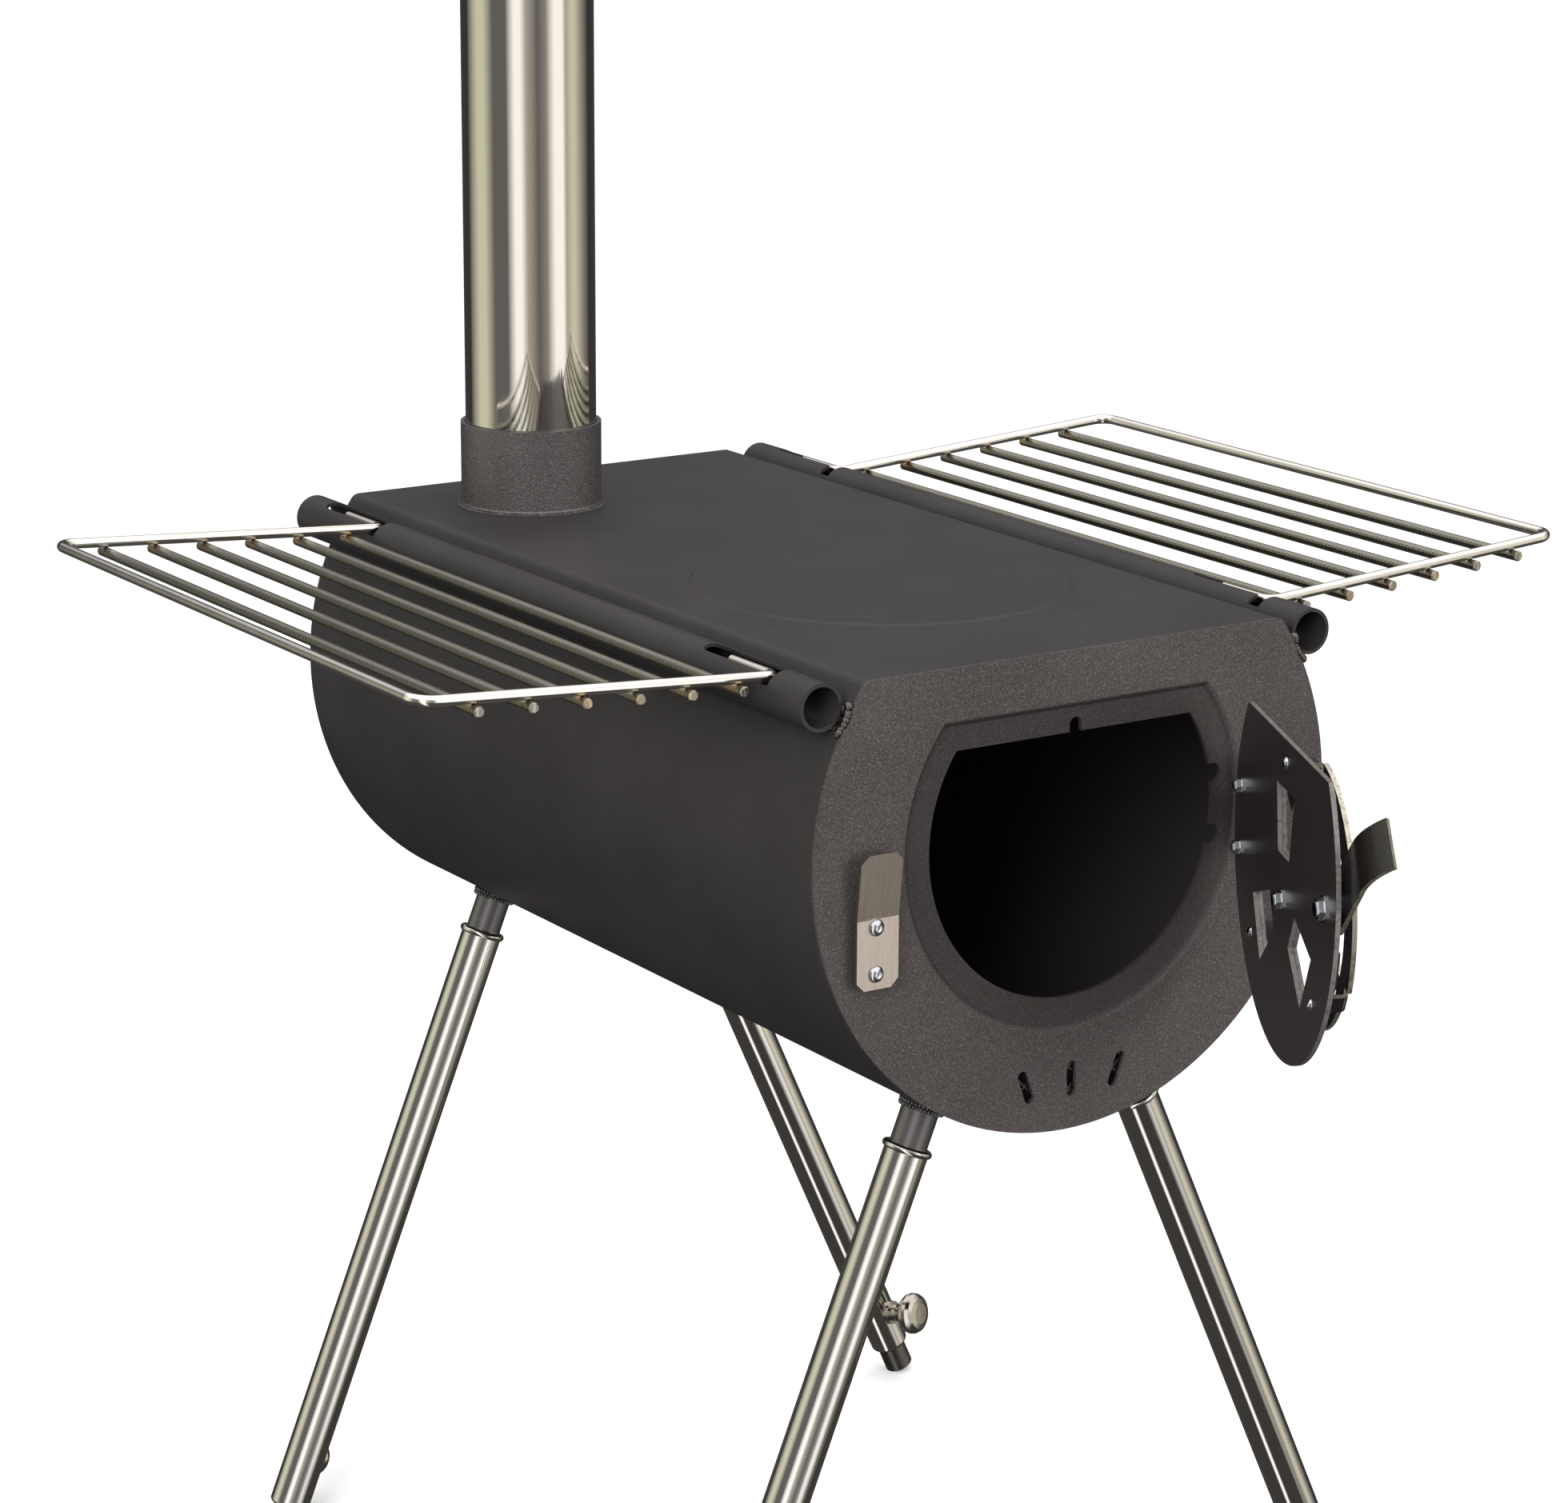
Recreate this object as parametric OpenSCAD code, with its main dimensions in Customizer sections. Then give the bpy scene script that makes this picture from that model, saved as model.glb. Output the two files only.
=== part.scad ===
// Camping wood stove: a flat-topped steel barrel on four splayed legs, with an open door on the right-hand
// hinge, a flue pipe in a welded collar and a folding wire rack on each side.
// Inside every stove() block X runs to the right, Y runs back from the front face and Z runs up from the
// barrel's axis. The finished part stands on Z = 0.

/* [Barrel] */
// Outer radius of the barrel
barrel_r = 127.8; // [115:0.1:140]
// Length of the barrel with both end plates
barrel_len = 426.1; // [380:0.1:480]
// Height of the flat cooking top above the barrel's axis
top_z = 75.3; // [65:0.1:85]
// Outer bend radius where the flat top meets the round side
top_bend = 5; // [3:0.1:8]
// Thickness of the barrel sheet
sheet_t = 1.5; // [1:0.1:2]
// Thickness of the two end plates
plate_t = 2; // [1.5:0.1:3]

/* [Pressed ring on the top] */
// Distance of the ring's centre behind the front face
ring_y = 142.6; // [120:0.1:170]
// Radius of the raised disc
ring_r = 80.5; // [60:0.1:84]
// Height that the disc is pressed up
ring_rise = 0.8; // [0.4:0.1:1.2]
// Width of the sloping edge of the disc
ring_edge = 1.8; // [1:0.1:4]

/* [Door opening] */
// Radius of the pressed recess round the opening, as a share of the barrel's radius
recess_share = 0.6416; // [0.62:0.0004:0.66]
// Height of the recess's flat top edge above the axis, as a share of the barrel's radius
recess_top_share = 0.3967; // [0.38:0.0001:0.42]
// Depth of the recess
recess_depth = 2.4; // [2:0.1:3]
// Width of the recess's rounded wall
recess_flare = 3; // [2:0.1:4]
// Width of the ledge between the recess's round wall and the opening
mouth_ledge = 10.8; // [8:0.1:13]
// Width of that ledge along the flat top edge
mouth_top_ledge = 10.1; // [8:0.1:13]

/* [Air slots] */
// Width of each air slot
slot_w = 4.7; // [4:0.1:6]
// Distance between the centres of a slot's round ends
slot_reach = 10.6; // [8:0.1:13]
// Height of the middle slot's centre above the barrel's lowest line
slot_rise = 21.6; // [19:0.1:24]
// Distance of the side slots from the middle one
slot_pitch = 23; // [18:0.1:28]
// Slant of the side slots in degrees
slot_slant = 20; // [0:1:30]

/* [Flue] */
// Distance of the flue left of the centre line
flue_left = 41.4; // [30:0.1:50]
// Distance of the flue's centre ahead of the rear face
flue_back = 58; // [46:0.1:76]
// Outer radius of the flue pipe
pipe_r = 30; // [25:0.1:32]
// Wall of the flue pipe
pipe_wall = 0.8; // [0.5:0.1:1.2]
// Length of one pipe section
pipe_len = 330; // [250:1:400]
// Height of the collar above the top plate
collar_h = 38.1; // [30:0.1:45]
// Wall of the collar
collar_wall = 2; // [1.5:0.1:3]
// Clearance of the pipe in the collar
collar_gap = 0.3; // [0.2:0.05:0.5]

/* [Rack tubes] */
// Gap between each tube and the barrel's round side, bridged by the weld
tube_stand = 1.3; // [0.8:0.1:1.6]
// Height of the tubes' centres above the axis
tube_z = 66.4; // [65.5:0.1:68]
// Outer radius of the tubes
tube_r = 9.8; // [9.5:0.1:10]
// Wall of the tubes
tube_wall = 1.5; // [1.2:0.1:1.6]
// Distance of the tubes' front ends behind the front face
tube_front = 3.9; // [2:0.1:8]
// Distance of the tubes' rear ends behind the barrel's rear face
tube_rear = 2.5; // [0:0.1:5]

/* [Racks] */
// Radius of the rack wire
wire_r = 2.25; // [2:0.05:2.3]
// Distance of the front side wire behind the front face
rack_front = 33.7; // [33:0.1:35]
// Distance of the rear side wire ahead of the rear face
rack_back = 66.1; // [60:0.1:90]
// Distance of the outer rail from the centre of its tube
rack_reach = 160.5; // [140:0.1:180]
// Height of the rack's hinge line above the centre of its tube
rack_pin_rise = 6.9; // [6.8:0.05:7]
// Outward distance of the rack's hinge line from the centre of its tube
rack_pin_out = 2.3; // [2.2:0.05:2.4]
// Slope of the racks in degrees
rack_tilt = 3.8; // [3.6:0.1:5]
// Bend radius of the rack's outer corners
rack_corner = 8; // [6:0.1:12]
// Length of the bent wire ends inside the tubes
rack_hook = 30.8; // [24:0.1:36]
// Number of cross rods on each rack
rod_count = 6; // [4:1:6]
// Distance of the first rod from the hinge line
rod_first = 16.2; // [16:0.1:19]
// Distance that the rods stand out past the side wires
rod_over = 4.7; // [3:0.1:7]

/* [Legs] */
// Splay of the legs from the vertical in degrees
leg_tilt = 23.4; // [20:0.1:27]
// Turn of the whole set of legs about the barrel's axis in degrees
leg_twist = 1.2; // [0:0.1:2]
// Distance of the front legs behind the front face
leg_front = 37; // [20:0.1:50]
// Distance of the rear legs ahead of the rear face
leg_back = 32; // [24:0.1:56]
// Radius of the sockets welded under the barrel
socket_r = 8.1; // [7.5:0.05:8.5]
// Wall of the sockets
socket_wall = 1.5; // [1:0.1:2.5]
// Length of socket that shows between barrel and leg
socket_show = 18.7; // [12:0.1:26]
// Length of socket inside each leg
socket_grip = 40; // [30:1:50]
// Wall of the leg tubes
leg_wall = 1.3; // [1:0.1:1.6]
// Length of the leg tubes
leg_len = 292.5; // [270:0.1:320]
// Radius of the sliding foot rods
foot_r = 7; // [6:0.1:7.3]
// Free length inside each leg above its foot rod
foot_spare = 31.3; // [25:0.1:50]
// Length of foot rod that shows below each right-hand leg
foot_show = 13.8; // [8:0.1:20]

/* [Thumbscrews] */
// Distance of each thumbscrew above the leg's lower end
thumb_up = 21; // [16:0.1:28]
// Turn of the thumbscrews outward from straight ahead in degrees
thumb_turn = 25; // [0:1:40]
// The same turn of the rear left leg's thumbscrew
rear_left_turn = -144; // [-180:1:180]
// Radius of a thumbscrew's thread
thumb_r = 3; // [2.5:0.1:3.5]
// Radius of a thumbscrew's mushroom head
thumb_head_r = 10.5; // [8:0.1:12]
// Radius of the threaded boss
boss_r = 6; // [5:0.1:6.5]
// Height of the threaded boss above the leg
boss_h = 4.6; // [3.5:0.1:6]

/* [Keeper] */
// Distance of the keeper's middle outside the recess
keeper_beyond = 18.7; // [18:0.1:19.5]
// Width of the keeper
keeper_w = 19.8; // [18:0.1:21]
// Height of the keeper's top end above the axis
keeper_top = 7.2; // [5:0.1:9]
// Height of the keeper
keeper_h = 56.3; // [50:0.1:60]
// Thickness of the keeper
keeper_t = 1.5; // [1.2:0.1:2]
// Distance that the keeper stands off the front face
keeper_off = 4; // [3.9:0.1:5]
// Extra distance that its upper end is bent out
keeper_flare = 3; // [2.9:0.1:4]
// Distance from the keeper's top end down to its bend
keeper_bend = 27.2; // [26:0.1:29]

/* [Door] */
// Opening angle of the door at rest in degrees
door_open = 65.1; // [30:0.1:90]
// Distance of the hinge pin outside the recess
hinge_beyond = 4; // [4:0.1:5]
// Distance of the hinge pin in front of the front face
hinge_out = 8.05; // [8:0.05:8.6]
// Gap between the closed door and the recess floor
door_gap = 0.3; // [0.2:0.05:0.5]
// Gap between the door's round edge and the recess's wall
door_edge_gap = 1.7; // [1:0.1:3]
// Gap between the door's flat top edge and the recess's wall
door_top_gap = 0.9; // [0.6:0.1:2]
// Thickness of the door plate
door_t = 2; // [1.5:0.1:2.2]
// Depth of the air regulator's pivot below the axis
pivot_drop = 15.3; // [15:0.1:16]
// Distance from the pivot to the inner edge of a vent
vent_in = 17.9; // [17:0.1:21]
// Distance from the outer edge of a vent to the regulator's edge
vent_rim = 5.7; // [5:0.1:8]
// Width of a vent's inner edge
vent_w_in = 17.4; // [14:0.1:18]
// Width of a vent's outer edge
vent_w_out = 28; // [22:0.1:30]
// Radius of the rotating air regulator, as a share of the door's radius
regulator_share = 0.6352; // [0.62:0.0004:0.645]
// Thickness of the air regulator
regulator_t = 1.6; // [1.2:0.1:1.8]

/* [Door guard] */
// Distance of the guard's inner face from the door's outer face
guard_off = 11; // [10:0.1:13]
// Thickness of the guard
guard_t = 2; // [1.5:0.1:2.2]
// Radius of the guard's hub
guard_hub_r = 15; // [12:0.1:21]
// Distance that the guard's widest arc stands out past its legs
guard_lip = 0.8; // [0.4:0.1:2]
// Width of the guard's widest arc
guard_rim_w = 11.8; // [9:0.1:14]
// Clearance between the regulator's edge and the guard's legs
guard_clear = 4; // [3:0.1:4.4]
// Width of each spoke and bent leg of the guard
guard_leg_w = 8.4; // [7:0.1:10]

/* [Latch lever] */
// Distance of the lever's pivot inside the door's round edge
lever_in = 16.7; // [16:0.1:18]
// Depth of the lever's pivot below the axis
lever_drop = 0; // [0:0.1:3]
// Width of the lever
lever_w = 20.6; // [18:0.1:21]
// Thickness of the lever
lever_t = 2; // [1.5:0.1:2.2]
// Distance of the lever's inner face from the door's outer face
lever_off = 2.1; // [2:0.1:2.2]
// Length of the lever's flat part from its pivot
lever_flat = 37; // [36:0.1:38]
// Radius of the lever's curved end
lever_curl = 28; // [24:0.1:32]
// Sweep of the lever's curved end in degrees
lever_sweep = 43.5; // [36:0.5:50]
// Raise of the lever at rest in degrees
lever_raise = 41.5; // [20:0.5:60]
// Radius of the hole near the lever's end
lever_hole_r = 4; // [3:0.1:5]

/* [Fits] */
// Running clearance of a pin or bolt in its turning part
pin_fit = 0.06; // [0.03:0.01:0.1]
// Gap between parts that are fixed to each other
seat_gap = 0.05; // [0.02:0.01:0.1]
// Gap between faces that slide past each other
slide_gap = 0.3; // [0.2:0.05:0.4]

/* [Hidden] */
$fn = 96;

// Facet count of the barrel's round where a small part is fitted to it
fine = 360;

// Overrun of every cut past the face that it leaves by
overrun = 1;

// Places and sizes that follow from the barrel's size
recess_r = recess_share * barrel_r;
recess_top = recess_top_share * barrel_r;
mouth_r = recess_r - mouth_ledge;
mouth_top = recess_top - mouth_top_ledge;
slot_drop = barrel_r - slot_rise;
flue_y = barrel_len - flue_back;
leg_rear = barrel_len - leg_back;
tube_x = sqrt(pow(barrel_r + tube_r + tube_stand, 2) - pow(tube_z, 2));
rack_span = barrel_len - rack_back - rack_front;
door_r = recess_r - door_edge_gap;
door_top = recess_top - door_top_gap;
hinge_x = recess_r + hinge_beyond;
keeper_x = recess_r + keeper_beyond;
lever_x = door_r - lever_in;

// Notches in the opening that clear the hinge nuts and the upper guard rivet
notch_r = 4.2;
notch_out = 2;
top_notch_w = 5.8;
top_notch_h = 3.2;

// Diamond-mesh screen behind the air slots
screen_w = 76;
screen_h = 24;
screen_t = 1;
screen_pitch = 9;
screen_bar = 1.7;

// Slots in the rack tubes: an axial part to drop the wire in and a cross part for it to swing in
tube_slot_w = 7;
tube_slot_len = 50.2;
tube_slot_lean = 12.5;
cross_slot_w = 7.6;
cross_slot_ahead = 4.2;
cross_slot_from = 28;
cross_slot_to = 140;
rack_hook_bend = 4.5;
rod_chamfer = 0.5;
rack_width = (rack_reach - rack_pin_out) / cos(rack_tilt);

// Weld beads
tube_bead_r = 2.6;
tube_bead_angles = [200, 228];
tube_bead_len = 17;
tube_bead_start = 2.6;
socket_bead = 3.4;
socket_bead_out = 1.7;
collar_bead = 1.6;

// Leg tubes
leg_r = socket_r + 2 * seat_gap + leg_wall;
leg_start = barrel_r + socket_show;
leg_end = leg_start + leg_len;
leg_lip_r = 1.7;
leg_lip_out = 1.3;
leg_roll = 2.2;
foot_fit = 0.1;
right_foot_end = leg_end + foot_show;
foot_len = leg_len + foot_show - socket_grip - foot_spare;
foot_floor = 3;
foot_wall = 1.2;
thumb_at = leg_end - thumb_up;
// Outline of a thumbscrew's head, as shares of the head's radius and of the head's height
thumb_head_h = 12;
thumb_head_shares = [[0.31, 0], [0.5, 0.07], [0.78, 0.2], [0.94, 0.36], [1, 0.52], [0.985, 0.68],
    [0.9, 0.83], [0.74, 0.93], [0.5, 0.985], [0, 1]];
thumb_neck = 3;

// Keeper fasteners
keeper_cut = 3.5;
keeper_bolt_r = 2;
keeper_bolt_out = 0.9;
keeper_bolt_x = keeper_x + keeper_bolt_out;
keeper_bolt_z = [-23.5, -42.7];
keeper_head_r = 3.5;
keeper_head_h = 2.2;
keeper_recess_r = 1.3;
keeper_spacer_side = 1.4;
keeper_spacer_top = 13.6;

// Hinge
knuckle_r = 4.6;
hinge_pin_r = 2.5;
hinge_pin_over = 0.8;
hinge_half = 20;
hinge_mid_half = 6.6;
hinge_leaf_t = 1.6;
hinge_frame_reach = 18;
hinge_leaf_reach = 25.5;
hinge_leaf_in = hinge_x - hinge_leaf_reach;
hinge_bolt_r = 2;
hinge_bolt_in = 17.2;
hinge_bolt_x = hinge_x - hinge_bolt_in;
hinge_bolt_z = [13.2, -13];

// Closed door, seen in the stove's own directions
door_in = recess_depth - door_gap;
door_out = door_in - door_t;
vent_angles = [90, 210, 330];
regulator_r = regulator_share * door_r;
vent_out = regulator_r - vent_rim;
// The regulator's upturned finger edge
regulator_tab_h = 8.5;
regulator_tab_from = 188;
regulator_tab_to = 241;
regulator_bolt_r = 2.5;
guard_rivet_r = 1.5;
guard_rivet_head_r = 2.4;
guard_rivet_head_h = 1.7;
guard_bend = 1.2;
guard_leg_at = regulator_r + guard_clear + guard_t;
guard_r = guard_leg_at + guard_lip;
guard_rivet_at = guard_leg_at - guard_t / 2;
// Relief beside each leg, and the angles at which the guard's two narrower arcs end
guard_notch_w = 14;
guard_ends = [33, 264];
guard_top_step = 2;
guard_low_step = 5.4;
latch_bolt_r = 3;
lever_hole_in = 7.5;
nut_h = 3.2;
nut_flange_h = 0.9;
// Radii of a nut's flange and hexagon as shares of its bolt's radius
nut_flange_share = 1.75;
nut_hex_share = 1.5;
bolt_tip = 0.8;

// Height of the barrel's axis over the ground, and the middle of the part from front to back
axis_z = right_foot_end * cos(tilt_of(1)) + foot_r * sin(tilt_of(1));
lever_tips = [for (r = [lever_curl, lever_curl + lever_t])
    [lever_flat + r * sin(lever_sweep), lever_off + lever_t + lever_curl - r * cos(lever_sweep)]];
lever_reach = max([for (tip = lever_tips)
    hinge_out + (hinge_x + lever_x + tip[0] * cos(lever_raise) + lever_w / 2 * sin(lever_raise)) * sin(door_open)
    - (hinge_out + door_out - tip[1]) * cos(door_open)]);
rear_reach = barrel_len + tube_rear;
mid_y = (rear_reach - lever_reach) / 2;

paint = "#3b393a";
plate_paint = "#4a4746";
steel = "#c9c6bf";
dark_steel = "#4d4c4a";
zinc = "#dfe0e2";

// Splay of the legs on one side, and how far along it a foot rod reaches the ground
function tilt_of(side) = leg_tilt + side * leg_twist;
function foot_end_of(side) = (axis_z - foot_r * sin(tilt_of(side))) / cos(tilt_of(side));
function unit(v) = v / norm(v);
function heading(v) = atan2(v[1], v[0]);
function turn_of(a, b) = let (d = heading(b) - heading(a)) d > 180 ? d - 360 : d < -180 ? d + 360 : d;
function ease(t) = t * t * (3 - 2 * t);
function arc(centre, r, from, to, steps = 6) =
    [for (i = [0:steps]) centre + r * [cos(from + (to - from) * i / steps), sin(from + (to - from) * i / steps)]];

// Moves the working frame to the standing part
module stove() {
    translate([0, -mid_y, axis_z]) children();
}

// Extrudes an outline drawn in X and Z from y0 to y1
module along_y(y0, y1) {
    translate([0, y1, 0]) rotate([90, 0, 0]) linear_extrude(y1 - y0) children();
}

// A round bar or hole along Y
module bar_y(x, z, y0, y1, r) {
    translate([x, y1, z]) rotate([90, 0, 0]) cylinder(h = y1 - y0, r = r);
}

// A disc of radius r cut off straight at the height top
module flat_top_disc(r, top) {
    intersection() {
        circle(r = r);
        translate([-2 * r, -2 * r]) square([4 * r, 2 * r + top]);
    }
}

// The same disc with its two corners rounded by bend
module bent_top_disc(r, top, bend) {
    corner_x = sqrt(pow(r - bend, 2) - pow(top - bend, 2));
    grow = r / (r - bend);
    rim = [corner_x * grow, (top - bend) * grow];
    flat_top_disc(r, rim[1]);
    polygon([[0, 0], rim, [corner_x, top], [-corner_x, top], [-rim[0], rim[1]]]);
    for (side = [-1, 1]) translate([side * corner_x, top - bend]) circle(r = bend);
}

// The pressed step round an opening, from the depth start on: a flat-topped dish with an S-shaped wall
module dish(r, top, depth, flare, start, steps = 8) {
    wall = [for (i = [0:steps]) if (depth * ease(i / steps) > start) [flare * (1 - i / steps), depth * ease(i / steps)]];
    intersection() {
        rotate([-90, 0, 0]) rotate_extrude()
            polygon(concat([[0, start], [r + flare, start]], [for (w = wall) [r + w[0], w[1]]], [[0, depth]]));
        translate([-2 * r, 0, 0]) rotate([0, 90, 0]) rotate([0, 0, 90]) linear_extrude(4 * r)
            polygon(concat([[start, -2 * r], [start, top + flare]],
                [for (w = wall) [w[1], top + w[0]]], [[depth, -2 * r]]));
    }
}

// A slot outline with round ends at p and q
module round_slot(p, q, w) {
    for (end = [p, q]) translate(end) circle(d = w);
    translate(p) rotate(heading(q - p)) translate([0, -w / 2]) square([norm(q - p), w]);
}

// A round wire bent in the XY plane along points p, with bend radius b[i] at point i
module bent_wire(p, b, r) {
    last = len(p) - 1;
    run = [for (i = [0:last - 1]) unit(p[i + 1] - p[i])];
    turns = [for (i = [0:last]) i == 0 || i == last ? 0 : turn_of(run[i - 1], run[i])];
    back = [for (i = [0:last]) b[i] * tan(abs(turns[i]) / 2)];
    for (i = [0:last - 1]) {
        start = p[i] + back[i] * run[i];
        translate([start[0], start[1], 0]) rotate([0, 90, heading(run[i])])
            cylinder(h = norm(p[i + 1] - p[i]) - back[i] - back[i + 1], r = r);
    }
    for (i = [1:last - 1]) {
        side = sign(turns[i]);
        tangent = p[i] - back[i] * run[i - 1];
        middle = tangent + side * b[i] * [-run[i - 1][1], run[i - 1][0]];
        first = heading(run[i - 1]) - side * 90 + min(turns[i], 0);
        translate([middle[0], middle[1], 0]) rotate([0, 0, first])
            rotate_extrude(angle = abs(turns[i])) translate([b[i], 0]) circle(r = r);
    }
}

// Domed head on Z = 0 with an optional round driving recess
module dome_head(r, h, recess = 0) {
    ball = (r * r + h * h) / (2 * h);
    difference() {
        intersection() {
            translate([0, 0, h - ball]) sphere(r = ball);
            cylinder(h = h, r = r);
        }
        if (recess > 0) translate([0, 0, h / 3]) cylinder(h = h, r = recess);
    }
}

// Screw with its head's seat on Z = 0 and its shank down to -grip
module dome_screw(r, grip, head_r, head_h, recess = 0) {
    dome_head(head_r, head_h, recess);
    translate([0, 0, -grip]) cylinder(h = grip, r = r);
}

// Flanged hex nut standing on Z = 0, bored for a shank of radius r
module flange_nut(r) {
    difference() {
        union() {
            cylinder(h = nut_flange_h, r = nut_flange_share * r);
            cylinder(h = nut_h, r = nut_hex_share * r, $fn = 6);
        }
        translate([0, 0, -overrun]) cylinder(h = nut_h + 2 * overrun, r = r + seat_gap);
    }
}

// Carries a child drawn for the right-hand side to either side
module on_side(side) {
    mirror([side < 0 ? 1 : 0, 0, 0]) children();
}

/* Barrel and end plates */

module ring_press() {
    rotate_extrude()
        polygon([[0, -sheet_t / 2], [ring_r + ring_edge, -sheet_t / 2], [ring_r + ring_edge, 0],
            [ring_r, ring_rise], [0, ring_rise]]);
}

module barrel() {
    color(paint) stove() difference() {
        union() {
            along_y(plate_t, barrel_len - plate_t) bent_top_disc(barrel_r, top_z, top_bend);
            translate([0, ring_y, top_z]) ring_press();
        }
        along_y(plate_t - overrun, barrel_len - plate_t + overrun)
            bent_top_disc(barrel_r - sheet_t, top_z - sheet_t, top_bend - sheet_t);
        translate([0, ring_y, top_z - sheet_t]) ring_press();
        translate([-flue_left, flue_y, top_z - 2 * sheet_t])
            cylinder(h = 4 * sheet_t, r = pipe_r - 2 * pipe_wall);
        for (side = [-1, 1], y = [leg_front, leg_rear])
            leg_line(side, y) translate([0, 0, -barrel_r - overrun]) cylinder(h = 2 * top_bend, r = socket_r - socket_wall);
    }
}

module front_plate() {
    color(plate_paint) stove() difference() {
        union() {
            along_y(0, plate_t) bent_top_disc(barrel_r, top_z, top_bend);
            dish(recess_r + plate_t, recess_top + plate_t, recess_depth + plate_t, recess_flare, plate_t / 2);
        }
        dish(recess_r, recess_top, recess_depth, recess_flare, -overrun);
        along_y(-overrun, recess_depth + plate_t + overrun) {
            flat_top_disc(mouth_r, mouth_top);
            for (z = hinge_bolt_z) translate([hinge_bolt_x + notch_out, z]) circle(r = notch_r);
            translate([-top_notch_w / 2, mouth_top - notch_r]) square([top_notch_w, notch_r + top_notch_h]);
            translate([0, mouth_top + top_notch_h]) circle(d = top_notch_w);
        }
        along_y(-overrun, recess_depth + plate_t + overrun) air_slots();
        for (z = keeper_bolt_z) bar_y(-keeper_bolt_x, z, -overrun, plate_t + overrun, keeper_bolt_r + seat_gap);
    }
}

// Three air slots, the outer two leaning in towards the bottom
module air_slots() {
    for (k = [-1, 0, 1])
        translate([k * slot_pitch, -slot_drop]) rotate(-k * slot_slant)
            round_slot([0, -slot_reach / 2], [0, slot_reach / 2], slot_w);
}

module rear_plate() {
    color(paint) stove() along_y(barrel_len - plate_t, barrel_len) bent_top_disc(barrel_r, top_z, top_bend);
}

module slot_screen() {
    rows = floor(screen_h / screen_pitch) + 1;
    columns = floor(screen_w / screen_pitch) + 1;
    hole = screen_pitch / sqrt(2) - screen_bar / 2;
    color(steel) stove() along_y(plate_t, plate_t + screen_t) translate([0, -slot_drop]) difference() {
        translate([-screen_w / 2, -screen_h / 2]) square([screen_w, screen_h]);
        for (i = [-columns:columns], j = [-rows:rows])
            if ((i + j) % 2 == 0 && abs(i) * screen_pitch / 2 < screen_w / 2 - screen_pitch
                && abs(j) * screen_pitch / 2 < screen_h / 2 - screen_pitch / 2)
                translate([i * screen_pitch / 2, j * screen_pitch / 2]) rotate(45) square(hole, center = true);
    }
}

/* Flue */

module flue_collar() {
    inner = pipe_r + collar_gap;
    outer = inner + collar_wall;
    color(paint) stove() translate([-flue_left, flue_y, top_z]) rotate_extrude()
        polygon([[inner, 0], [outer + collar_bead, 0], [outer + collar_bead / 3, collar_bead / 3],
            [outer, collar_bead], [outer, collar_h], [inner, collar_h]]);
}

module flue_pipe() {
    color(steel) stove() translate([-flue_left, flue_y, top_z]) difference() {
        cylinder(h = pipe_len, r = pipe_r);
        translate([0, 0, -overrun]) cylinder(h = pipe_len + 2 * overrun, r = pipe_r - pipe_wall);
    }
}

/* Side racks and their tubes */

module tube_slots(y) {
    lean = 90 - tube_slot_lean;
    translate([0, y - cross_slot_ahead, 0]) {
        rotate([90, 0, 180]) mirror([1, 0, 0]) linear_extrude(cross_slot_w)
            polygon(concat([[0, 0]], arc([0, 0], 2 * tube_r, cross_slot_from, cross_slot_to, 12)));
        rotate([0, 90 - lean, 0]) translate([0, tube_slot_w / 2, 0]) {
            translate([-tube_slot_w / 2, 0, 0])
                cube([tube_slot_w, tube_slot_len - tube_slot_w / 2, 2 * tube_r]);
            translate([0, tube_slot_len - tube_slot_w / 2, 0]) cylinder(h = 2 * tube_r, d = tube_slot_w);
        }
    }
}

module rack_tube(side) {
    color(paint) stove() on_side(side) translate([tube_x, 0, tube_z]) difference() {
        bar_y(0, 0, tube_front, barrel_len + tube_rear, tube_r);
        bar_y(0, 0, tube_front - overrun, barrel_len + tube_rear + overrun, tube_r - tube_wall);
        for (y = [rack_front, rack_front + rack_span]) tube_slots(y);
    }
}

module rack_tube_welds() {
    length = tube_bead_len;
    color(plate_paint) stove() for (side = [-1, 1], start = [tube_bead_start, barrel_len - tube_bead_start - length])
        on_side(side) along_y(start, start + length) difference() {
            for (a = tube_bead_angles)
                translate([tube_x, tube_z] + tube_r * [cos(a), sin(a)]) circle(r = tube_bead_r);
            translate([tube_x, tube_z]) circle(r = tube_r + seat_gap);
            circle(r = barrel_r + seat_gap, $fn = fine);
        }
}

// Frame of a right-hand rack: X runs outward along its slope from the hinge line, Y runs back
module rack_place(side) {
    stove() on_side(side) translate([tube_x + rack_pin_out, rack_front, tube_z + rack_pin_rise])
        rotate([0, -rack_tilt, 0]) children();
}

module rack_frame(side) {
    out = rack_width;
    points = [[0, rack_hook], [0, 0], [out, 0], [out, rack_span], [0, rack_span], [0, rack_span + rack_hook]];
    bends = [0, rack_hook_bend, rack_corner, rack_corner, rack_hook_bend, 0];
    color(steel) rack_place(side) bent_wire(points, bends, wire_r);
}

module rack_rods(side) {
    rod_pitch = (rack_width - rod_first) / rod_count;
    length = rack_span + 2 * rod_over;
    color(steel) rack_place(side) for (i = [0:rod_count - 1])
        translate([rod_first + i * rod_pitch, -rod_over, -2 * wire_r - seat_gap]) rotate([-90, 0, 0])
            rotate_extrude() polygon([[0, 0], [wire_r - rod_chamfer, 0], [wire_r, rod_chamfer],
                [wire_r, length - rod_chamfer], [wire_r - rod_chamfer, length], [0, length]]);
}

/* Legs. Inside leg_line() the leg runs down -Z from the barrel's axis. */

module leg_line(side, y) {
    translate([0, y, 0]) rotate([0, -side * tilt_of(side), 0]) children();
}

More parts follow.
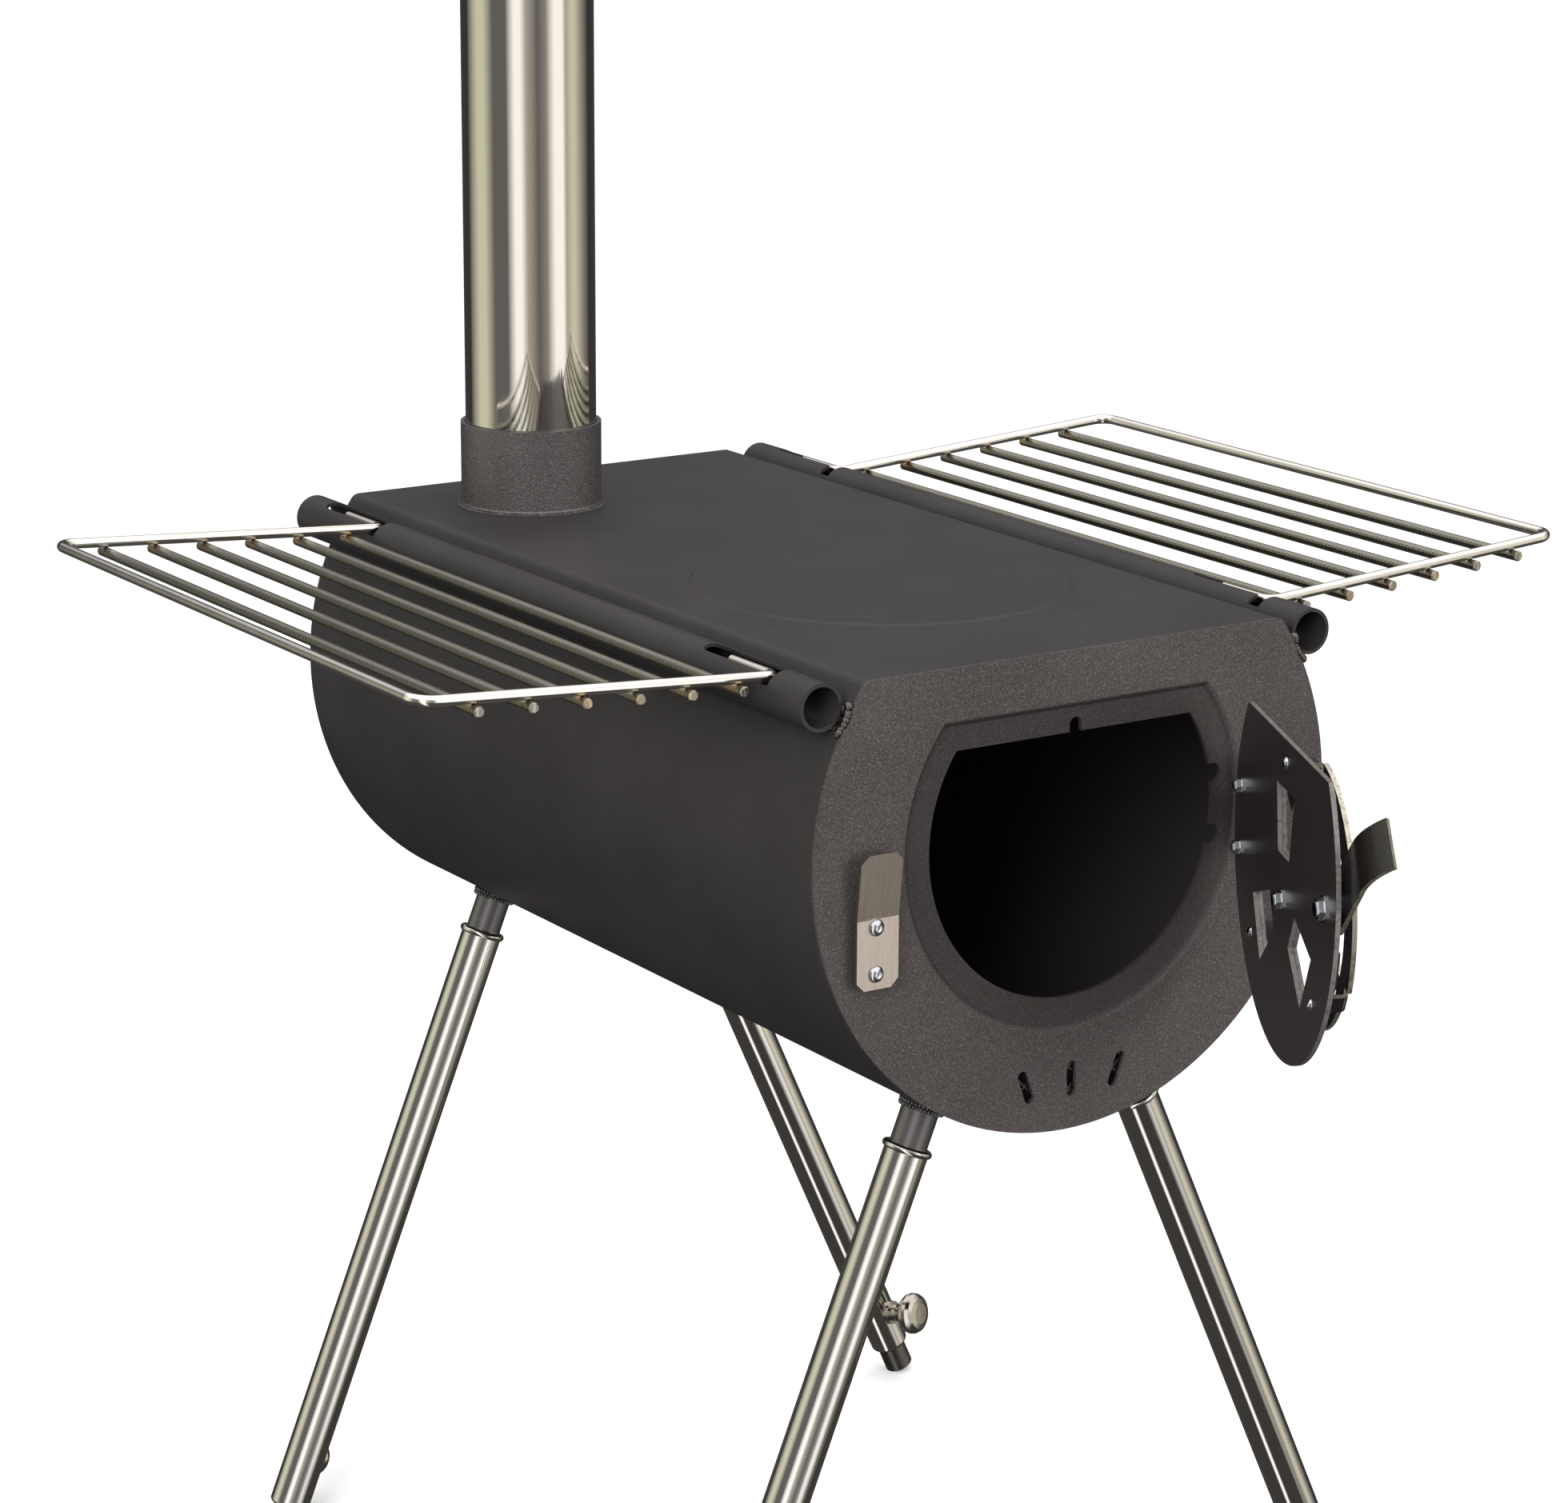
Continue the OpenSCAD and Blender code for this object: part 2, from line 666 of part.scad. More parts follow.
module leg_sockets() {
    reach = socket_show + socket_grip;
    color(dark_steel) stove() for (side = [-1, 1], y = [leg_front, leg_rear]) difference() {
        leg_line(side, y) translate([0, 0, -barrel_r - reach]) difference() {
            cylinder(h = reach + top_bend, r = socket_r);
            translate([0, 0, -overrun]) cylinder(h = reach + top_bend + 2 * overrun, r = socket_r - socket_wall);
        }
        bar_y(0, 0, -overrun, barrel_len + overrun, barrel_r, $fn = fine);
    }
}

module socket_welds() {
    inner = socket_r + seat_gap;
    color(dark_steel) stove() for (side = [-1, 1], y = [leg_front, leg_rear])
        leg_line(side, y) translate([0, 0, -barrel_r - seat_gap]) rotate_extrude()
            polygon(concat([[inner, 0], [inner, -socket_bead]],
                [for (i = [0:8]) [inner + socket_bead_out * sin(180 * i / 8),
                    -socket_bead / 2 * (1 + cos(180 * i / 8))]]));
}

// Points a child's +Z from the leg's middle out along the thumbscrew
module thumb_line(side, y) {
    turn = side < 0 && y > barrel_len / 2 ? rear_left_turn : thumb_turn;
    translate([0, 0, -thumb_at]) rotate([90, 0, side * turn]) children();
}

module leg(side, y) {
    bore = leg_r - leg_wall;
    color(steel) stove() leg_line(side, y) difference() {
        union() {
            translate([0, 0, -leg_end + leg_roll]) cylinder(h = leg_len - leg_roll, r = leg_r);
            translate([0, 0, -leg_end]) cylinder(h = 2 * leg_roll, r = leg_r - leg_roll);
            translate([0, 0, -leg_end + leg_roll]) rotate_extrude()
                translate([leg_r - leg_roll, 0]) circle(r = leg_roll);
            translate([0, 0, -leg_start - leg_lip_r]) rotate_extrude()
                translate([leg_r + leg_lip_out - leg_lip_r, 0]) circle(r = leg_lip_r);
        }
        translate([0, 0, -leg_end + leg_roll]) cylinder(h = leg_len, r = bore);
        translate([0, 0, -leg_end - overrun]) cylinder(h = leg_len, r = foot_r + foot_fit);
        thumb_line(side, y) cylinder(h = 2 * leg_r, r = thumb_r + foot_fit);
    }
}

module thumbscrew_bosses() {
    color(steel) stove() for (side = [-1, 1], y = [leg_front, leg_rear]) leg_line(side, y) difference() {
        thumb_line(side, y) union() {
            cylinder(h = leg_r + boss_h, r = boss_r - 1.2 * leg_wall);
            cylinder(h = leg_r + boss_h / 3, r = boss_r);
        }
        thumb_line(side, y) translate([0, 0, -overrun]) cylinder(h = 2 * leg_r + boss_h, r = thumb_r + pin_fit);
        translate([0, 0, -leg_end]) cylinder(h = leg_len, r = leg_r);
    }
}

module thumbscrew(side, y) {
    start = foot_r + slide_gap;
    neck = leg_r + boss_h + slide_gap;
    color(steel) stove() leg_line(side, y) thumb_line(side, y) {
        translate([0, 0, start]) cylinder(h = neck + thumb_neck - start, r = thumb_r);
        translate([0, 0, neck + thumb_neck / 2]) rotate_extrude()
            polygon(concat([[0, 0]], [for (p = thumb_head_shares) [p[0] * thumb_head_r, p[1] * thumb_head_h]]));
    }
}

module foot_rod(side, y) {
    color(dark_steel) stove() leg_line(side, y) translate([0, 0, -foot_end_of(side)]) difference() {
        cylinder(h = foot_len, r = foot_r);
        translate([0, 0, foot_floor]) cylinder(h = foot_len, r = foot_r - foot_wall);
    }
}

/* Keeper on the left of the opening */

module keeper_outline() {
    half = keeper_w / 2;
    low = keeper_top - keeper_h;
    translate([-keeper_x, 0]) polygon([[-half, low + keeper_cut], [-half + keeper_cut, low],
        [half - keeper_cut, low], [half, low + keeper_cut], [half, keeper_top - keeper_cut],
        [half - keeper_cut, keeper_top], [-half + keeper_cut, keeper_top], [-half, keeper_top - keeper_cut]]);
}

module keeper_plate() {
    bend = keeper_top - keeper_bend;
    low = keeper_top - keeper_h - overrun;
    rise = keeper_flare / keeper_bend;
    high = keeper_top + overrun;
    far = keeper_off + keeper_flare + rise * overrun;
    color(steel) stove() difference() {
        intersection() {
            translate([-keeper_x - keeper_w, 0, 0]) rotate([0, 90, 0]) rotate([0, 0, 90]) linear_extrude(2 * keeper_w)
                polygon([[-keeper_off, low], [-keeper_off, bend], [-far, high], [-far - keeper_t, high],
                    [-keeper_off - keeper_t, bend], [-keeper_off - keeper_t, low]]);
            along_y(-4 * keeper_off, 0) keeper_outline();
        }
        for (z = keeper_bolt_z)
            bar_y(-keeper_bolt_x, z, -2 * keeper_off, 0, keeper_bolt_r + seat_gap);
    }
}

module keeper_spacer() {
    low = keeper_top - keeper_h + keeper_spacer_side;
    color(dark_steel) stove() difference() {
        translate([-keeper_x - keeper_w / 2 + keeper_spacer_side, -keeper_off, low])
            cube([keeper_w - 2 * keeper_spacer_side, keeper_off, -keeper_spacer_top - low]);
        for (z = keeper_bolt_z) bar_y(-keeper_bolt_x, z, -2 * keeper_off, overrun, keeper_bolt_r + seat_gap);
    }
}

module keeper_screws() {
    stack = keeper_off + keeper_t;
    color(zinc) stove() for (z = keeper_bolt_z) translate([-keeper_bolt_x, -stack, z]) rotate([90, 0, 0])
        dome_screw(keeper_bolt_r, stack + plate_t + nut_h + bolt_tip, keeper_head_r, keeper_head_h, keeper_recess_r);
}

module keeper_nuts() {
    color(zinc) stove() for (z = keeper_bolt_z) translate([-keeper_bolt_x, plate_t, z]) rotate([-90, 0, 0])
        flange_nut(keeper_bolt_r);
}

/* Door and what it carries. Inside door_line() the door is drawn closed. */

module door_line() {
    translate([hinge_x, -hinge_out, 0]) rotate([0, 0, door_open]) translate([-hinge_x, hinge_out, 0]) children();
}

// Part of the door's stack from a to b in front of its outer face, outline drawn in X and Z
module on_door(a, b) {
    along_y(door_out - b, door_out - a) children();
}

// Turns a child's +Z to point out of the door at x, z, standing a in front of its outer face
module out_of_door(x, z, a) {
    translate([x, door_out - a, z]) rotate([90, 0, 0]) children();
}

// Turns a child's +Z to point into the firebox at x, z, standing on the door's inner face
module inside_door(x, z) {
    translate([x, door_in, z]) rotate([-90, 0, 0]) children();
}

module knuckle(z0, z1, bore) {
    translate([hinge_x, -hinge_out, z0]) difference() {
        cylinder(h = z1 - z0, r = knuckle_r);
        translate([0, 0, -overrun]) cylinder(h = z1 - z0 + 2 * overrun, r = bore);
    }
}

module hinge_frame_leaf() {
    ends = [[-hinge_half, -hinge_mid_half - slide_gap], [hinge_mid_half + slide_gap, hinge_half]];
    color(dark_steel) stove() {
        translate([hinge_x - hinge_leaf_t / 2, -hinge_leaf_t, -hinge_half])
            cube([hinge_frame_reach, hinge_leaf_t, 2 * hinge_half]);
        for (e = ends) {
            knuckle(e[0], e[1], hinge_pin_r + seat_gap / 2);
            translate([0, 0, e[0]]) linear_extrude(e[1] - e[0]) difference() {
                polygon([[hinge_x - hinge_leaf_t / 2, -hinge_leaf_t / 2],
                    [hinge_x - hinge_leaf_t / 2, -hinge_out + hinge_pin_r],
                    [hinge_x + knuckle_r * 0.9, -hinge_out + knuckle_r * 0.4],
                    [hinge_x + knuckle_r * 1.2, -hinge_leaf_t / 2]]);
                translate([hinge_x, -hinge_out]) circle(r = knuckle_r - hinge_leaf_t / 2);
            }
        }
    }
}

module hinge_pin() {
    length = 2 * (hinge_half + hinge_pin_over);
    color(steel) stove() translate([hinge_x, -hinge_out, -length / 2]) {
        cylinder(h = length, r = hinge_pin_r);
        for (z = [0, length - hinge_pin_over]) translate([0, 0, z]) cylinder(h = hinge_pin_over, r = 1.4 * hinge_pin_r);
    }
}

module hinge_door_leaf() {
    far = hinge_x - knuckle_r;
    color(dark_steel) stove() door_line() difference() {
        union() {
            on_door(0, hinge_leaf_t) translate([hinge_leaf_in, -hinge_half])
                square([far - hinge_leaf_in, 2 * hinge_half]);
            knuckle(-hinge_mid_half, hinge_mid_half, hinge_pin_r + pin_fit);
            translate([0, 0, -hinge_mid_half]) linear_extrude(2 * hinge_mid_half) difference() {
                polygon([[far - knuckle_r, door_out], [far, door_out],
                    [hinge_x - hinge_leaf_t / 2, -hinge_out + hinge_pin_r],
                    [hinge_x - knuckle_r * 0.9, -hinge_out - knuckle_r * 0.2]]);
                translate([hinge_x, -hinge_out]) circle(r = knuckle_r - hinge_leaf_t / 2);
            }
        }
        for (z = hinge_bolt_z)
            bar_y(hinge_bolt_x, z, door_out - 2 * hinge_leaf_t, door_in, hinge_bolt_r + seat_gap);
    }
}

module hinge_screws() {
    color(zinc) stove() door_line() for (z = hinge_bolt_z) out_of_door(hinge_bolt_x, z, hinge_leaf_t)
        dome_screw(hinge_bolt_r, hinge_leaf_t + door_t + nut_h + bolt_tip, 2 * hinge_bolt_r, hinge_bolt_r);
}

module hinge_nuts() {
    color(zinc) stove() door_line() for (z = hinge_bolt_z) inside_door(hinge_bolt_x, z) flange_nut(hinge_bolt_r);
}

// Three fan-shaped vents round the regulator's pivot
module vents() {
    translate([0, -pivot_drop]) for (a = vent_angles) rotate(a)
        polygon([[vent_in, -vent_w_in / 2], [vent_out, -vent_w_out / 2],
            [vent_out, vent_w_out / 2], [vent_in, vent_w_in / 2]]);
}

module at_guard_rivets() {
    translate([0, -pivot_drop]) for (a = vent_angles) rotate(a) translate([guard_rivet_at, 0]) children();
}

module door_plate() {
    color(paint) stove() door_line() along_y(door_out, door_in) difference() {
        flat_top_disc(door_r, door_top);
        vents();
        translate([0, -pivot_drop]) circle(r = regulator_bolt_r + seat_gap);
        at_guard_rivets() circle(r = guard_rivet_r + seat_gap);
        translate([-lever_x, -lever_drop]) circle(r = latch_bolt_r + seat_gap);
        for (z = hinge_bolt_z) translate([hinge_bolt_x, z]) circle(r = hinge_bolt_r + seat_gap);
    }
}

// A part of a ring from one angle to the other, at most half a turn
module ring_part(inner, outer, from, to) {
    intersection() {
        difference() {
            circle(r = outer);
            circle(r = inner);
        }
        polygon(concat([[0, 0]], arc([0, 0], 2 * outer, from, to, 12)));
    }
}

module air_regulator() {
    gap = slide_gap / 2;
    color(paint) stove() door_line() {
        on_door(gap, gap + regulator_t) difference() {
            translate([0, -pivot_drop]) circle(r = regulator_r);
            vents();
            translate([0, -pivot_drop]) circle(r = regulator_bolt_r + pin_fit);
        }
        on_door(gap, gap + regulator_tab_h) translate([0, -pivot_drop])
            ring_part(regulator_r - regulator_t, regulator_r, regulator_tab_from, regulator_tab_to);
    }
}

module regulator_bolt() {
    gap = slide_gap;
    color(zinc) stove() door_line() out_of_door(0, -pivot_drop, regulator_t + gap)
        dome_screw(regulator_bolt_r, gap + regulator_t + door_t + nut_h + bolt_tip, 2 * regulator_bolt_r, regulator_bolt_r);
}

module regulator_nut() {
    color(zinc) stove() door_line() inside_door(0, -pivot_drop) flange_nut(regulator_bolt_r);
}

// Side view of one guard leg, radius from the pivot along X and distance off the door along Y. The bent strip
// is a hair thinner and narrower than the spoke that it grows out of.
module guard_leg_side() {
    strip_t = guard_t - 2 * seat_gap;
    wall_in = guard_leg_at - strip_t;
    near = guard_off + seat_gap;
    polygon(concat([[wall_in - guard_bend - guard_t, near], [wall_in - guard_bend, near]],
        arc([wall_in - guard_bend, near - guard_bend], guard_bend, 90, 0),
        [[wall_in, 0], [guard_leg_at, 0]],
        arc([wall_in - guard_bend, near - guard_bend], guard_bend + strip_t, 0, 90),
        [[wall_in - guard_bend - guard_t, near + strip_t]]));
}

// The guard seen flat: hub, three spokes, a wide arc between two of them and a narrower arc past each of those two
module guard_outline() {
    notch_in = guard_leg_at - guard_t - guard_bend;
    rim_in = guard_r - guard_rim_w;
    circle(r = guard_hub_r);
    for (a = vent_angles) rotate(a) translate([0, -guard_leg_w / 2]) square([notch_in, guard_leg_w]);
    difference() {
        union() {
            ring_part(rim_in, guard_r, vent_angles[0], vent_angles[1]);
            ring_part(rim_in, guard_r - guard_top_step, guard_ends[0], vent_angles[0]);
            ring_part(rim_in, guard_r - guard_low_step, vent_angles[1], guard_ends[1]);
        }
        for (a = vent_angles) rotate(a)
            translate([notch_in, -guard_notch_w / 2]) square([guard_r, guard_notch_w]);
    }
}

module door_guard() {
    color(paint) stove() door_line() {
        on_door(guard_off, guard_off + guard_t) translate([0, -pivot_drop]) guard_outline();
        translate([0, door_out, -pivot_drop]) for (a = vent_angles) rotate([0, -a, 0])
            linear_extrude(guard_leg_w - 2 * seat_gap, center = true) mirror([0, 1]) guard_leg_side();
    }
}

module guard_rivets() {
    color(zinc) stove() door_line() translate([0, 0, -pivot_drop]) for (a = vent_angles) rotate([0, -a, 0])
        translate([guard_rivet_at, door_in, 0]) rotate([-90, 0, 0])
            dome_screw(guard_rivet_r, door_t, guard_rivet_head_r, guard_rivet_head_h);
}

// Side view of the lever: distance from its pivot along X, distance off the door along Y
module lever_side() {
    centre = [lever_flat, lever_off + lever_t + lever_curl];
    polygon(concat([[0, lever_off]],
        arc(centre, lever_curl + lever_t, 270, 270 + lever_sweep, 12),
        arc(centre, lever_curl, 270 + lever_sweep, 270, 12),
        [[0, lever_off + lever_t]]));
}

module lever_line() {
    stove() door_line() translate([-lever_x, door_out, -lever_drop]) rotate([0, lever_raise, 0])
        mirror([1, 0, 0]) children();
}

module latch_lever() {
    centre = [lever_flat, -lever_off - lever_t - lever_curl, 0];
    color(paint) lever_line() difference() {
        union() {
            translate([0, 0, -lever_w / 2]) linear_extrude(lever_w) mirror([0, 1]) lever_side();
            translate([0, -lever_off, 0]) rotate([90, 0, 0]) cylinder(h = lever_t, d = lever_w);
        }
        translate([0, overrun - lever_off, 0]) rotate([90, 0, 0])
            cylinder(h = lever_t + 2 * overrun, r = latch_bolt_r + pin_fit);
        translate(centre) rotate([0, 0, 270 + 90 - lever_sweep + lever_hole_in / lever_curl * 180 / PI])
            rotate([0, -90, 0]) translate([0, 0, -lever_curl - 2 * lever_t])
                cylinder(h = lever_curl, r = lever_hole_r);
    }
}

module latch_bolt() {
    seat = lever_off + lever_t + slide_gap;
    color(zinc) stove() door_line() out_of_door(-lever_x, -lever_drop, seat)
        dome_screw(latch_bolt_r, seat + door_t + nut_h + bolt_tip, 2 * latch_bolt_r, latch_bolt_r);
}

module latch_washer() {
    color(zinc) stove() door_line() on_door(0, lever_off - slide_gap) translate([-lever_x, -lever_drop]) difference() {
        circle(r = 1.8 * latch_bolt_r);
        circle(r = latch_bolt_r + seat_gap);
    }
}

module latch_nut() {
    color(zinc) stove() door_line() inside_door(-lever_x, -lever_drop) flange_nut(latch_bolt_r);
}

barrel();
front_plate();
rear_plate();
slot_screen();
flue_collar();
flue_pipe();
rack_tube(-1);  // left_rack_tube
rack_tube(1);  // right_rack_tube
rack_tube_welds();
rack_frame(-1);  // left_rack_frame
rack_rods(-1);  // left_rack_rods
rack_frame(1);  // right_rack_frame
rack_rods(1);  // right_rack_rods
leg_sockets();
socket_welds();
leg(-1, leg_front);  // front_left_leg
leg(1, leg_front);  // front_right_leg
leg(-1, leg_rear);  // rear_left_leg
leg(1, leg_rear);  // rear_right_leg
thumbscrew_bosses();
foot_rod(-1, leg_front);  // front_left_foot_rod
foot_rod(1, leg_front);  // front_right_foot_rod
foot_rod(-1, leg_rear);  // rear_left_foot_rod
foot_rod(1, leg_rear);  // rear_right_foot_rod
thumbscrew(-1, leg_front);  // front_left_thumbscrew
thumbscrew(1, leg_front);  // front_right_thumbscrew
thumbscrew(-1, leg_rear);  // rear_left_thumbscrew
thumbscrew(1, leg_rear);  // rear_right_thumbscrew
keeper_plate();
keeper_spacer();
keeper_screws();
keeper_nuts();
hinge_frame_leaf();
hinge_pin();
hinge_door_leaf();
hinge_screws();
hinge_nuts();
door_plate();
air_regulator();
regulator_bolt();
regulator_nut();
door_guard();
guard_rivets();
latch_lever();
latch_bolt();
latch_washer();
latch_nut();
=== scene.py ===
# Camping wood stove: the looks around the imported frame. Lengths are in millimetres in the stove's own
# directions, with X to the right, Y back from the front face and Z up from the barrel's axis. at() turns them
# to the row frame.
import math

import bmesh
import bpy
from mathutils import Matrix, Vector


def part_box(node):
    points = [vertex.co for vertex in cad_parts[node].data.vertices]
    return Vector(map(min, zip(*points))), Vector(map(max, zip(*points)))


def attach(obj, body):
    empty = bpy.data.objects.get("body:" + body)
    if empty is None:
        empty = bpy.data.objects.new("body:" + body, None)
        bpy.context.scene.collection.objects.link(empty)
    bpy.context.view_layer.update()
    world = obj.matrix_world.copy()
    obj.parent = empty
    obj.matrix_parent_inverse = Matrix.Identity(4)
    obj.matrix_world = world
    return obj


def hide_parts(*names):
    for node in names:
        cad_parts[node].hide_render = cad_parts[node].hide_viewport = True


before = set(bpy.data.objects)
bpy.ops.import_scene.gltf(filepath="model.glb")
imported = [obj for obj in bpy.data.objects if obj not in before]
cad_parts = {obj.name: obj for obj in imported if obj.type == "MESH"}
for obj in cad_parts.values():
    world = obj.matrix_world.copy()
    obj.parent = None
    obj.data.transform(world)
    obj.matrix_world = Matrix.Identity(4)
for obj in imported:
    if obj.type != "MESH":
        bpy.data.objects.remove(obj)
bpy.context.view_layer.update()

MM = 0.001
RIGHT, BACK, UP = Vector((1, 0, 0)), Vector((0, 1, 0)), Vector((0, 0, 1))

# The barrel and the height of its flat top. A face looks into the firebox if it is farther in than a place
# within the sheet's thickness, and farther forward than a place within the rear plate's.
BARREL_R, BARREL_LEN = 127.8, 426.1
TOP_Z = 75.3
IN_SHEET, IN_REAR_PLATE = 0.9, 425
ORIGIN = Vector((0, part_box("front_plate")[0].y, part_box("rear_plate")[0].z + BARREL_R * MM))


def at(x, y, z):
    """A point of the stove, in millimetres, as metres in the row frame."""
    return ORIGIN + Vector((x, y, z)) * MM


# The camera, where the photo was taken from. What is farther than its reach, in metres, isn't drawn.
YAW, PITCH, ROLL = math.radians(33.11), math.radians(14.86), math.radians(0.29)
CAMERA_SPOT = (-1062.16, -1411.40, 499.68)
LENS, SENSOR = 103.873, 36
CAMERA_REACH = 200


def make_camera():
    forward = Vector((math.sin(YAW) * math.cos(PITCH), math.cos(YAW) * math.cos(PITCH), -math.sin(PITCH)))
    level = forward.cross(UP).normalized()
    upright = level.cross(forward)
    right = level * math.cos(ROLL) + upright * math.sin(ROLL)
    up = upright * math.cos(ROLL) - level * math.sin(ROLL)
    turn = Matrix((right, up, -forward)).transposed().to_4x4()
    camera = bpy.data.objects.new("camera", bpy.data.cameras.new("camera"))
    bpy.context.scene.collection.objects.link(camera)
    camera.matrix_world = Matrix.Translation(at(*CAMERA_SPOT)) @ turn
    camera.data.sensor_width = SENSOR
    camera.data.lens = LENS
    camera.data.clip_end = CAMERA_REACH
    bpy.context.scene.camera = camera


make_camera()


# Colours, nodes and materials in general
def colour(code):
    """An sRGB hex colour as linear RGBA."""
    channels = [int(code[i:i + 2], 16) / 255 for i in (0, 2, 4)]
    return [c / 12.92 if c <= 0.04045 else ((c + 0.055) / 1.055) ** 2.4 for c in channels] + [1]


def put(tree, kind, sockets=None, stops=(), **settings):
    """Adds a node. A socket takes a number, a colour, an output, or a node for the first output that it has
    in use. A colour ramp takes stops as (place, hex colour) pairs."""
    node = tree.nodes.new(kind)
    for name, value in settings.items():
        setattr(node, name, value)
    for name, value in (sockets or {}).items():
        if isinstance(value, bpy.types.Node):
            value = next(output for output in value.outputs if output.enabled)
        if isinstance(value, bpy.types.NodeSocket):
            tree.links.new(value, node.inputs[name])
        else:
            node.inputs[name].default_value = value
    while stops and len(node.color_ramp.elements) < len(stops):
        node.color_ramp.elements.new(0.5)
    for i, (place, code) in enumerate(stops):
        node.color_ramp.elements[i].position = place
        node.color_ramp.elements[i].color = colour(code)
    return node


def start_material(name):
    material = bpy.data.materials.new(name)
    material.use_nodes = True
    tree = material.node_tree
    tree.nodes.clear()
    return material, tree


def close_material(tree, sockets):
    shader = put(tree, "ShaderNodeBsdfPrincipled", sockets)
    put(tree, "ShaderNodeOutputMaterial", {"Surface": shader})


def in_piece(tree, per_mm=(1, 1, 1)):
    """Object coordinates in millimetres, times a number of pattern steps per millimetre along X, Y and Z."""
    coordinates = put(tree, "ShaderNodeTexCoord").outputs["Object"]
    return put(tree, "ShaderNodeMapping", {"Vector": coordinates, "Scale": [1000 * step for step in per_mm]})


def in_stove(tree):
    """Object coordinates in millimetres from the barrel's axis at the front face."""
    coordinates = put(tree, "ShaderNodeTexCoord").outputs["Object"]
    moved = put(tree, "ShaderNodeVectorMath", {0: coordinates, 1: -ORIGIN}, operation="ADD")
    return put(tree, "ShaderNodeVectorMath", {0: moved, "Scale": 1000}, operation="SCALE")


# Heat-proof paint: the width of its faint clouds, how much clouds and grain each do to the tone, and how much
# rougher or smoother it is from grain to grain
CLOUD_MM = 50
CLOUD_SHARE, GRAIN_SHARE = 0.38, 0.62
GRAIN_ROUGH = 0.08

# The colours of the painted glints, of the painted shade in the front plate's recess and of the painted shade
# inside the firebox. Pale specks are painted in as glints, more of them than grains, and the recess's painted
# shade grows between two depths.
GLINTS_PER_GRAIN = 1.4
GLINT_SPECK, SHADOW, INSIDE_SHADE = "8f8680", "1c1919", "302c2c"
RECESS_STARTS, RECESS_DEEP = 0.5, 1.8


def painted_inside_shade(tree, behind):
    """1 on the faces that look into the firebox, where painted shade goes: inside the sheet and farther back
    than the given depth.
    """
    parts = put(tree, "ShaderNodeSeparateXYZ", {"Vector": in_stove(tree)}).outputs
    square_x = put(tree, "ShaderNodeMath", {0: parts["X"], 1: 2.0}, operation="POWER")
    square_z = put(tree, "ShaderNodeMath", {0: parts["Z"], 1: 2.0}, operation="POWER")
    square = put(tree, "ShaderNodeMath", {0: square_x, 1: square_z}, operation="ADD")
    radius = put(tree, "ShaderNodeMath", {0: square}, operation="SQRT")
    in_round = put(tree, "ShaderNodeMath", {0: radius, 1: BARREL_R - IN_SHEET}, operation="LESS_THAN")
    under_top = put(tree, "ShaderNodeMath", {0: parts["Z"], 1: TOP_Z - IN_SHEET}, operation="LESS_THAN")
    inner = put(tree, "ShaderNodeMath", {0: in_round, 1: under_top}, operation="MULTIPLY")
    past_front = put(tree, "ShaderNodeMath", {0: parts["Y"], 1: behind}, operation="GREATER_THAN")
    before_rear = put(tree, "ShaderNodeMath", {0: parts["Y"], 1: IN_REAR_PLATE}, operation="LESS_THAN")
    deep = put(tree, "ShaderNodeMath", {0: past_front, 1: before_rear}, operation="MULTIPLY")
    return put(tree, "ShaderNodeMath", {0: inner, 1: deep}, operation="MULTIPLY")


